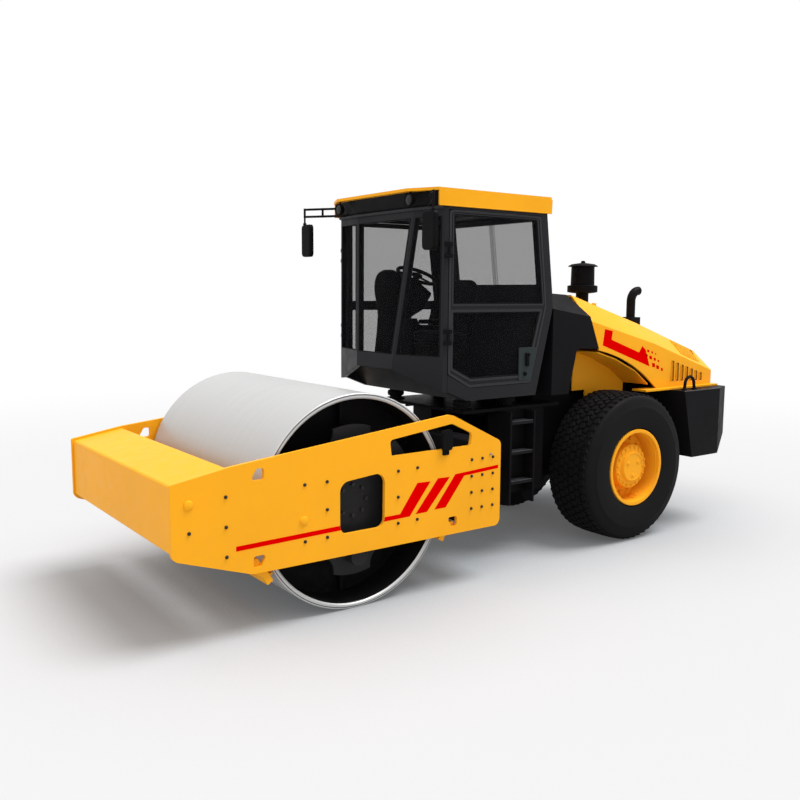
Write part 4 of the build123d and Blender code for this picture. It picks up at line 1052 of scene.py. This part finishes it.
# cab trim: frames, seals, handles, lamps, mirrors and studs; x and z in metres
cabTrim = {
    "doorEdge": ((0.603, 3.165), (0.603, 1.766), (0.360, 1.637), (-0.389, 1.643),
                 (-0.574, 2.340), (-0.559, 2.508), (-0.477, 3.165)),
    "upper": ((0.555, 3.133), (0.555, 2.370), (-0.527, 2.370), (-0.427, 3.133)),
    "lower": ((0.555, 2.300), (0.555, 1.815), (0.343, 1.712), (-0.329, 1.716),
              (-0.493, 2.300)),
    "paneFrames": {"upper": 0.014, "lower": 0.022}, "paneCorner": 0.022,
    "doorFace": 0.812, "frameWidth": 0.024, "frameRise": 0.005, "sealWidth": 0.011,
    "plate": ((-0.232, 1.972), (-0.232, 1.668), (-0.388, 1.668), (-0.462, 1.972)),
    "handle": (-0.330, 1.860), "handleOut": (0.006, 0.030), "lock": (-0.308, 1.728),
}
# the handle's two blocks: low and high x and z from its middle
handleBlocks = ((-0.019, -0.062, 0.019, 0.062), (-0.030, 0.030, 0.026, 0.058))
lockProfile = ((0.0, 0.022), (0.012, 0.022), (0.017, 0.018), (0.019, 0.0), (0.0, 0.0))


def dressDoors():
    face, corner = cabTrim["doorFace"], cabTrim["paneCorner"]
    for side, way in (("left", 1), ("right", -1)):
        body = side + "_door"
        low, high = way * (face - 0.001), way * (face + cabTrim["frameRise"])
        shape = bmesh.new()
        ring(shape, filleted(cabTrim["doorEdge"], 0.032), cabTrim["frameWidth"], low, high)
        for name, width in cabTrim["paneFrames"].items():
            outline = filleted(inset(cabTrim[name], -width), corner)
            ring(shape, outline, width - 0.001, low, high)
        closeShape(shape, "door_frames_" + side, body, edgePaint)
        shape = bmesh.new()
        for name in cabTrim["paneFrames"]:
            ring(shape, filleted(cabTrim[name], corner), cabTrim["sealWidth"],
                 way * (face - 0.022), way * (face - 0.002))
        closeShape(shape, "door_seals_" + side, body, rubberFinish)
        shape = bmesh.new()
        prism(shape, filleted(cabTrim["plate"], 0.02), low, way * (face + 0.008))
        closeShape(shape, "lock_plate_" + side, body, lockPaint)
        shape = bmesh.new()
        x, z = cabTrim["handle"]
        near, far = sorted(way * (face + out) for out in cabTrim["handleOut"])
        for lowX, lowZ, highX, highZ in handleBlocks:
            roundedBox(shape, (x + lowX, near, z + lowZ), (x + highX, far, z + highZ), 0.008, 3)
        x, z = cabTrim["lock"]
        lathe(shape, lockProfile, (x, way * (face + 0.006), z), (0, way, 0), 24)
        closeShape(shape, "door_handle_" + side, body, plasticFinish)


# the front's right half at its foot and its head: height, then x and y of two corners
frontEdges = {"low": (1.780, (0.665, -0.815), (0.825, -0.280)),
              "high": (3.190, (0.660, -0.815), (0.705, -0.450))}


def frontSpot(facet, share, z, margin=0.034):
    # a spot on a front facet, share 0 at its right edge and 1 at its left
    low, high = frontEdges["low"], frontEdges["high"]
    rate = (z - low[0]) / (high[0] - low[0])
    outer, inner = [Vector(a).lerp(Vector(b), rate) for a, b in zip(low[1:], high[1:])]
    corners = [outer, inner, Vector((inner.x, -inner.y)), Vector((outer.x, -outer.y))]
    start, end = corners[facet], corners[facet + 1]
    along = (end - start).normalized()
    start, end = start + along * margin, end - along * margin
    spot = start.lerp(end, share)
    outward = Vector((along.y, -along.x))
    return Vector((spot.x, spot.y, z)), Vector((outward.x, outward.y, 0))


frontSeal = {"foot": 1.920, "head": 3.110, "bar": 0.009, "depth": 0.004}
# a folded lip along the head of the front: height, distance out
headerLip = ((3.172, 0.000), (3.176, 0.020), (3.196, 0.026), (3.204, 0.010))


def dressFront():
    foot, head = frontSeal["foot"], frontSeal["head"]
    shape = bmesh.new()
    for facet in range(3):
        path = []
        for share, z in ((0, foot), (1, foot), (1, head), (0, head)):
            spot, outward = frontSpot(facet, share, z)
            path.append(spot - outward * frontSeal["depth"])
        tube(shape, path, frontSeal["bar"], 8, closed=True)
    closeShape(shape, "front_seals", "chassis", rubberFinish)
    shape = bmesh.new()
    rows = []
    for z, out in headerLip:
        row = []
        for facet, share in ((0, 0), (0, 1), (1, 0), (1, 1), (2, 0), (2, 1)):
            spot, outward = frontSpot(facet, share, z, 0.004)
            row.append(shape.verts.new(spot + outward * out))
        rows.append(row)
    for first, second in zip(rows, rows[1:] + rows[:1]):
        for step in range(5):
            shape.faces.new((first[step], first[step + 1], second[step + 1], second[step]))
    for step in (0, 5):
        shape.faces.new([row[step] for row in rows])
    closeShape(shape, "header_lip", "chassis", edgePaint, 20)


lamps = {"x": 0.857, "y": 0.560, "z": 3.249}
lensProfile = ((0.0, -0.0005), (0.020, -0.0012), (0.040, -0.0035), (0.047, -0.0065),
               (0.047, -0.0078), (0.0, -0.0078))
lampRing = ((0.0475, -0.006), (0.0475, 0.0), (0.052, 0.0015), (0.0555, -0.002),
            (0.0555, -0.012), (0.0475, -0.012))
mirrors = {"x": 0.928, "y": 0.985, "z": 2.970, "half": (0.072, 0.144), "corner": 0.030,
           "collar": (0.022, 0.045, 0.157)}
collarProfile = ((0.0, 0.018), (0.014, 0.018), (0.017, 0.014), (0.017, 0.0), (0.0, 0.0))
roofTrim = {"studs": (0.635, -0.545), "studAt": (0.720, 3.345), "seam": (0.727, -0.600),
            "seamAt": (0.8262, 3.200), "seamBar": 0.005}
studProfile = ((0.0, 0.0148), (0.011, 0.0148), (0.0145, 0.011), (0.0145, 0.0), (0.0, 0.0))


def dressHead():
    x, y, z = lamps["x"], lamps["y"], lamps["z"]
    turned("lamp_lenses", lensProfile, mirrored(x, y, z, (1, 0, 0)), 36, "chassis",
           lensFinish, "clear_glass")
    turned("lamp_rings", lampRing, mirrored(x - 0.001, y, z, (1, 0, 0)), 36, "chassis",
           plasticFinish, "black_plastic")
    wide, tall = mirrors["half"]
    x, y, z = mirrors["x"], mirrors["y"], mirrors["z"]

    def glass(shape, way):
        middle = way * y
        outline = filleted([(middle - wide, z - tall), (middle + wide, z - tall),
                            (middle + wide, z + tall), (middle - wide, z + tall)],
                           mirrors["corner"])
        prism(shape, outline, x - 0.0006, x + 0.001, "YZ")
    closeShape(bothSides(glass), "mirror_glass", "chassis", mirrorFinish)
    ahead, out, rise = mirrors["collar"]
    turned("mirror_collars", collarProfile, mirrored(x + ahead, y + out, z + rise, (0, 0, 1)),
           20, "chassis", plasticFinish, "black_plastic")
    y, z = roofTrim["studAt"]
    rows = [row for x in roofTrim["studs"] for row in mirrored(x, y, z, (0, 0, 1))]
    turned("roof_studs", studProfile, rows, 20, "chassis", plasticFinish, "black_plastic")
    # rolled seam round the roof's side bands
    y, z = roofTrim["seamAt"]
    shape = bothSides(lambda shape, way: tube(
        shape, [(x, way * y, z) for x in roofTrim["seam"]], roofTrim["seamBar"], 8))
    closeShape(shape, "roof_seams", "chassis", yellowPaint)


# the rear wall's outer line, x and z, and its one wide window of two sliding panes
rearWall = {"line": ((-0.457, 1.521), (-0.659, 2.340), (-0.641, 2.514), (-0.556, 3.190)),
            "thickness": 0.045, "half": 0.765, "sill": 2.550, "head": 3.133,
            "right": -0.515, "left": 0.655, "overlap": (0.043, 0.093),
            "paneDepths": (0.011, 0.032), "paneEdge": 0.005}


def makeRearWall():
    thickness = rearWall["thickness"]
    line = list(rearWall["line"])
    (lowX, lowZ), (highX, highZ) = line[2:]
    sill, head = [(lowX + (highX - lowX) * (z - lowZ) / (highZ - lowZ), z)
                  for z in (rearWall["sill"], rearWall["head"])]
    half = rearWall["half"]
    shape = bmesh.new()
    for spots, low, high in ((line[:3] + [sill], -half, half), ([head, line[3]], -half, half),
                             ([sill, head], -half, rearWall["right"]),
                             ([sill, head], rearWall["left"], half)):
        inner = [(x + thickness, z) for x, z in reversed(spots)]
        prism(shape, spots + inner, low, high)
    wall = closeShape(shape, "rear_wall", "chassis", cabPaint, 20)
    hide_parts("cab_rear")
    # the panes pass each other at the middle
    shape = bmesh.new()
    for depth in rearWall["paneDepths"]:
        spots = [(x + depth, z) for x, z in (sill, head)]
        prism(shape, spots + [(x + rearWall["paneEdge"], z) for x, z in reversed(spots)],
              *rearWall["overlap"])
    closeShape(shape, "pane_overlap", "chassis", glassFinish)


# the console's pod: height, and the middle and half sizes in x and y
podRows = ((1.8065, 0.575, 0.085, 0.165), (1.90, 0.575, 0.080, 0.140),
           (2.10, 0.570, 0.078, 0.105), (2.25, 0.560, 0.080, 0.100),
           (2.36, 0.552, 0.092, 0.120), (2.44, 0.548, 0.107, 0.146),
           (2.51, 0.547, 0.111, 0.155), (2.57, 0.548, 0.108, 0.148),
           (2.62, 0.550, 0.097, 0.128), (2.655, 0.552, 0.076, 0.098),
           (2.6795, 0.555, 0.036, 0.048))
pod = {"y": -0.150, "steps": 40, "squareness": 0.72, "footLow": (0.450, -0.290, 1.780),
       "footHigh": (0.543, -0.010, 1.960)}


def squared(share):
    return math.copysign(abs(share) ** pod["squareness"], share)


def makeConsole():
    turns = [2 * math.pi * step / pod["steps"] for step in range(pod["steps"])]
    shape = bmesh.new()
    loops = [[shape.verts.new((middle + halfX * squared(math.cos(turn)),
                               pod["y"] + halfY * squared(math.sin(turn)), z))
              for turn in turns] for z, middle, halfX, halfY in podRows]
    for first, second in zip(loops, loops[1:]):
        band(shape, first, second)
    shape.faces.new(list(reversed(loops[0])))
    shape.faces.new(loops[-1])
    # its foot on the sloping toe of the floor
    roundedBox(shape, pod["footLow"], pod["footHigh"], 0.012)
    piece = closeShape(shape, "console_pod", "chassis", plasticFinish, 50)
    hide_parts("console")


dressDoors()
dressFront()
dressHead()
makeRearWall()
makeConsole()
print("cab dressed")


# operator's station: padded seat, knob, lever and cluster
seatShape = {"cushion": ((-0.070, -0.150, 2.030), (0.218, 0.228, 0.064), 4.0),
             "back": ((-0.335, -0.150, 2.330), (0.270, 0.232, 0.052), 98.5),
             "crown": 0.34, "pinch": 0.035, "squareness": 5, "cuts": 27,
             "seamLines": (-0.42, 0.42), "crossSeam": 0.12, "seamDepth": 0.007,
             "seamWidth": 0.045, "piping": 0.005, "pipingSteps": 72}


def cushionSpot(u, v, w, half, taper):
    # a crowned cushion with two sewn channels and a cross seam on its upper face
    power = seatShape["squareness"]
    size = (abs(u) ** power + abs(v) ** power + abs(w) ** power) ** (1 / power)
    u, v, w = u / size, v / size, w / size
    crown = 1 - seatShape["crown"] * (u ** 4 + v ** 4) / 2
    pull = 1 - seatShape["pinch"] * (1 - abs(w)) * (1 - max(abs(u), abs(v)) ** 2)
    narrow = 1 - taper * max(0.0, u) ** 2
    spot = Vector((half[0] * u * pull, half[1] * v * pull * narrow, half[2] * w * crown))
    deep, wide = seatShape["seamDepth"], seatShape["seamWidth"]
    if w > 0.3:
        for line in seatShape["seamLines"]:
            spot.z -= deep * math.exp(-((v - line) / wide) ** 2)
        if abs(v) < seatShape["seamLines"][1]:
            spot.z -= deep * 0.8 * math.exp(-((u - seatShape["crossSeam"]) / wide) ** 2)
    return spot


# how the foam fills its cover: metres, and Blender's own cloth units
foam = {"pressure": 4.0, "frames": 20, "mostMove": 0.006, "inset": (0.001, 0.001, 0.005),
        "pipingInset": 0.005, "stiffness": 30.0}


def swell(shape):
    # cloth blown up by its pressure; each point keeps within mostMove of its place
    data = bpy.data.meshes.new("swelling")
    shape.to_mesh(data)
    cover = bpy.data.objects.new("swelling", data)
    scene = bpy.context.scene
    scene.collection.objects.link(cover)
    cloth = cover.modifiers.new("cloth", "CLOTH")
    cloth.settings.use_pressure = True
    cloth.settings.uniform_pressure_force = foam["pressure"]
    cloth.settings.effector_weights.gravity = 0.0
    cloth.settings.tension_stiffness = foam["stiffness"]
    cloth.settings.compression_stiffness = foam["stiffness"]
    cloth.point_cache.frame_start = 1
    cloth.point_cache.frame_end = foam["frames"]
    for step in range(1, foam["frames"] + 1):
        scene.frame_set(step)
    done = cover.evaluated_get(bpy.context.evaluated_depsgraph_get()).to_mesh()
    shape.verts.ensure_lookup_table()
    furthest = 0.0
    for corner, swollen in zip(shape.verts, done.vertices):
        move = swollen.co - corner.co
        furthest = max(furthest, move.length)
        corner.co += move * min(1.0, foam["mostMove"] / max(move.length, 1e-9))
    print("foam moved its cover by up to", round(furthest * 1000, 1), "mm")
    scene.frame_set(1)
    bpy.data.objects.remove(cover)
    bpy.data.meshes.remove(data)


def makeCushion(name, taper):
    middle, half, tilt = seatShape[name]
    frameTurn = Matrix.Translation(middle) @ Matrix.Rotation(math.radians(-tilt), 4, "Y")
    smaller = tuple(size - less for size, less in zip(half, foam["inset"]))
    line = (half[0] - foam["pipingInset"], half[1] - foam["pipingInset"], half[2])
    shape = bmesh.new()
    bmesh.ops.create_cube(shape, size=2.0)
    bmesh.ops.subdivide_edges(shape, edges=list(shape.edges), cuts=seatShape["cuts"],
                              use_grid_fill=True)
    for corner in shape.verts:
        corner.co = frameTurn @ cushionSpot(*corner.co, smaller, taper)
    swell(shape)
    # piping round the widest line
    steps = seatShape["pipingSteps"]
    path = [frameTurn @ cushionSpot(math.cos(turn) * 1.4, math.sin(turn) * 1.4, 0.02, line, taper)
            for turn in (2 * math.pi * step / steps for step in range(steps))]
    tube(shape, path, seatShape["piping"], 8, closed=True)
    piece = closeShape(shape, "seat_" + name, "chassis", clothFinish, 60)
    return piece


# what stands round the seat; paths and profiles as for tube and lathe
seatShell = {"low": (-0.290, -0.345, 1.9605), "high": (0.130, 0.045, 1.975),
             "bars": (-0.330, 0.030), "line": ((-0.250, 1.990), (-0.318, 2.060), (-0.372, 2.330)),
             "bar": 0.014}
steering = {"middle": (0.225, -0.150, 2.610), "axis": (-0.3872, 0.0, 0.9220),
            "knobAim": (-0.62, 0.78, 0.0), "knobCircle": 0.195, "rise": 0.020,
            "rim": 0.194, "grip": 0.0175, "steps": 64}
knobProfile = ((0.0, 0.060), (0.015, 0.057), (0.023, 0.046), (0.022, 0.034), (0.010, 0.026),
               (0.009, 0.0), (0.0, 0.0))
hubCap = ((0.0, 0.046), (0.030, 0.044), (0.044, 0.036), (0.052, 0.034), (0.052, 0.020),
          (0.0, 0.020))
lever = {"path": ((-0.060, -0.600, 2.120), (-0.055, -0.595, 2.150), (-0.040, -0.592, 2.200),
                  (-0.030, -0.590, 2.255)),
         "bar": 0.010, "gripAt": (-0.030, -0.590, 2.240), "gripAxis": (0.10, 0.0, 1.0),
         "grip": ((0.0, 0.105), (0.018, 0.100), (0.027, 0.082), (0.024, 0.050),
                  (0.020, 0.020), (0.022, 0.0), (0.0, 0.0)),
         "gaiterAt": (-0.060, -0.600, 2.118),
         "gaiter": ((0.036, 0.0), (0.030, 0.016), (0.020, 0.026), (0.012, 0.040), (0.0, 0.040)),
         "restLow": (-0.330, -0.520, 2.150), "restHigh": (-0.080, -0.460, 2.195),
         "post": ((-0.270, -0.490, 2.155), (-0.270, -0.490, 2.124)), "postBar": 0.012}
panel = {"outline": ((-0.235, 2.440), (-0.065, 2.440), (-0.065, 2.615), (-0.235, 2.615)),
         "from": 0.436, "to": 0.460, "dialsAt": 0.4365,
         "dials": ((-0.200, 2.570, 0.022), (-0.100, 2.570, 0.022), (-0.150, 2.585, 0.016),
                   (-0.195, 2.485, 0.011), (-0.150, 2.485, 0.011), (-0.105, 2.485, 0.011))}


def fitWheelGrip():
    middle, axis = Vector(steering["middle"]), Vector(steering["axis"])
    aim = Vector(steering["knobAim"])
    aim = (aim - axis * aim.dot(axis)).normalized()
    side = axis.cross(aim).normalized()
    level = middle + axis * steering["rise"]
    shape = bmesh.new()
    lathe(shape, knobProfile, level + aim * steering["knobCircle"], axis, 24)
    turns = [2 * math.pi * step / steering["steps"] for step in range(steering["steps"])]
    tube(shape, [level + (aim * math.cos(turn) + side * math.sin(turn)) * steering["rim"]
                 for turn in turns], steering["grip"], 12, closed=True)
    lathe(shape, hubCap, middle, axis, 32)
    closeShape(shape, "wheel_knob", "chassis", plasticFinish)


def fitStation():
    cushion = makeCushion("cushion", 0.05)
    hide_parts("seat")
    makeCushion("back", 0.06)
    shape = bmesh.new()
    roundedBox(shape, seatShell["low"], seatShell["high"], 0.006)
    for y in seatShell["bars"]:
        tube(shape, [(x, y, z) for x, z in seatShell["line"]], seatShell["bar"], 10)
    closeShape(shape, "seat_shell", "chassis", plasticFinish)
    fitWheelGrip()
    # travel lever on the side console, and the armrest
    shape = bmesh.new()
    tube(shape, lever["path"], lever["bar"], 10)
    lathe(shape, lever["grip"], lever["gripAt"], lever["gripAxis"], 20)
    lathe(shape, lever["gaiter"], lever["gaiterAt"], (0, 0, 1), 20)
    roundedBox(shape, lever["restLow"], lever["restHigh"], 0.016, 3)
    tube(shape, lever["post"], lever["postBar"], 10)
    closeShape(shape, "travel_lever", "chassis", plasticFinish)
    # instrument panel on the console's rear face
    shape = bmesh.new()
    prism(shape, filleted(panel["outline"], 0.02), panel["from"], panel["to"], "YZ")
    for y, z, radius in panel["dials"]:
        lathe(shape, ((radius, 0.0), (radius, 0.004), (radius * 0.86, 0.004),
                      (radius * 0.82, 0.001), (0.0, 0.001)), (panel["dialsAt"], y, z),
              (-1, 0, 0), 20)
    closeShape(shape, "instrument_panel", "chassis", linerFinish)


fitStation()
print("station fitted")


# chassis, drum and rear details
# step edges, pale strips painted as highlights along each tread: how far in from the tread's
# outer edge, and how high they stand
stepEdges = {"rows": ((0.0, 0.004), (0.040, 0.003), (0.080, 0.003)), "width": 0.007,
             "treadDepth": 0.028, "ends": 0.004}
cabMounts = {"x": (-0.365, 0.195), "y": 0.520, "rubberAt": 1.400, "plateAt": 1.4005}
mountRubber = ((0.0622, 0.030), (0.078, 0.034), (0.084, 0.050), (0.084, 0.066),
               (0.078, 0.082), (0.0622, 0.086))
mountPlate = ((0.0622, 0.0), (0.092, 0.0), (0.092, 0.010), (0.0622, 0.010))
# bolts on the drum's hangers, in rings: distance out, circle, count, first angle
hangerRings = ((1.010, 0.345, 12, 0.26), (1.0105, 0.125, 8, 0.0))
nippleSpot = (-1.322, 1.098)
nippleProfile = ((0.0, 0.022), (0.005, 0.020), (0.007, 0.014), (0.005, 0.010),
                 (0.011, 0.008), (0.011, 0.0), (0.0, 0.0))
# the pale line round the counterweight's top edge, a painted highlight, drawn in a little from it
weightEdge = {"line": ((-2.411, 1.050), (-3.030, 1.050), (-3.250, 0.965), (-3.250, -0.965),
                       (-3.030, -1.050), (-2.411, -1.050)),
              "z": 1.4535, "drawX": 0.998, "drawY": 0.9985, "bar": 0.0045}
hoop = {"x": -2.595, "y": 0.970, "foot": 1.4555, "half": 0.076, "shank": 0.060,
        "rise": 0.138, "bar": 0.0165, "steps": 16, "splay": 0.012, "padX": 0.030,
        "padY": 0.0195, "padRise": 0.012}


def edgeSteps():
    levels = sorted({round(corner.co.z, 3) for corner in nodes["step_treads"].data.vertices})
    tops = [z for z in levels if round(z - stepEdges["treadDepth"], 3) in levels]
    low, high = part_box("step_treads")
    ends = stepEdges["ends"]
    shape = bmesh.new()
    for z in tops:
        for way in (1, -1):
            for back, rise in stepEdges["rows"]:
                out = high.y - back
                near, far = sorted((way * (out - stepEdges["width"]), way * out))
                roundedBox(shape, (low.x + ends, near, z - 0.004),
                           (high.x - ends, far, z + rise), 0.0012, 1)
    closeShape(shape, "step_edge_highlights", "chassis", edgeHighlightFinish)


def bendHoop(shape, way):
    # a lifting hoop bent from round bar, with a pad under each end
    y, reach = way * hoop["y"], hoop["half"] + hoop["splay"]
    path = [Vector((hoop["x"] - reach, y, hoop["foot"]))]
    for step in range(hoop["steps"] + 1):
        turn = math.pi * (1 - step / hoop["steps"])
        path.append(Vector((hoop["x"] + hoop["half"] * math.cos(turn), y,
                            hoop["foot"] + hoop["shank"]
                            + (hoop["rise"] - hoop["shank"]) * math.sin(turn))))
    path.append(Vector((hoop["x"] + reach, y, hoop["foot"])))
    tube(shape, path, hoop["bar"], 16)
    for spot in (hoop["x"] - reach, hoop["x"] + reach):
        roundedBox(shape, (spot - hoop["padX"], y - hoop["padY"], hoop["foot"]),
                   (spot + hoop["padX"], y + hoop["padY"], hoop["foot"] + hoop["padRise"]),
                   0.004)


def fitChassis():
    edgeSteps()
    # rubber mounts under the cab
    shape = bmesh.new()
    for x in cabMounts["x"]:
        for y in (-cabMounts["y"], cabMounts["y"]):
            lathe(shape, mountRubber, (x, y, cabMounts["rubberAt"]), (0, 0, 1), 36)
            lathe(shape, mountPlate, (x, y, cabMounts["plateAt"]), (0, 0, 1), 36)
    closeShape(shape, "mount_rubbers", "chassis", rubberFinish)
    rows = []
    for way in (1, -1):
        for out, circle, count, start in hangerRings:
            centre = (drumMiddle.x, way * out, drumMiddle.z)
            rows += ringRows(centre, (0, way, 0), circle, count, start)
    addBolts("hanger_bolts", "hanger", rows, boltFinish, "drum_frame")
    turned("grease_nipples", nippleProfile, onPlates([nippleSpot]), 16, "drum_frame",
           pinFinish, "pin_steel")
    shape = bmesh.new()
    tube(shape, [Vector((x * weightEdge["drawX"], y * weightEdge["drawY"], weightEdge["z"]))
                 for x, y in weightEdge["line"]], weightEdge["bar"], 8)
    closeShape(shape, "weight_edge_highlight", "chassis", edgeHighlightFinish)
    hoops = closeShape(bothSides(bendHoop), "lifting_hoops", "chassis", blackPaint,
                       50)
    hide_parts("lifting_lugs")


fitChassis()
print("chassis fitted")
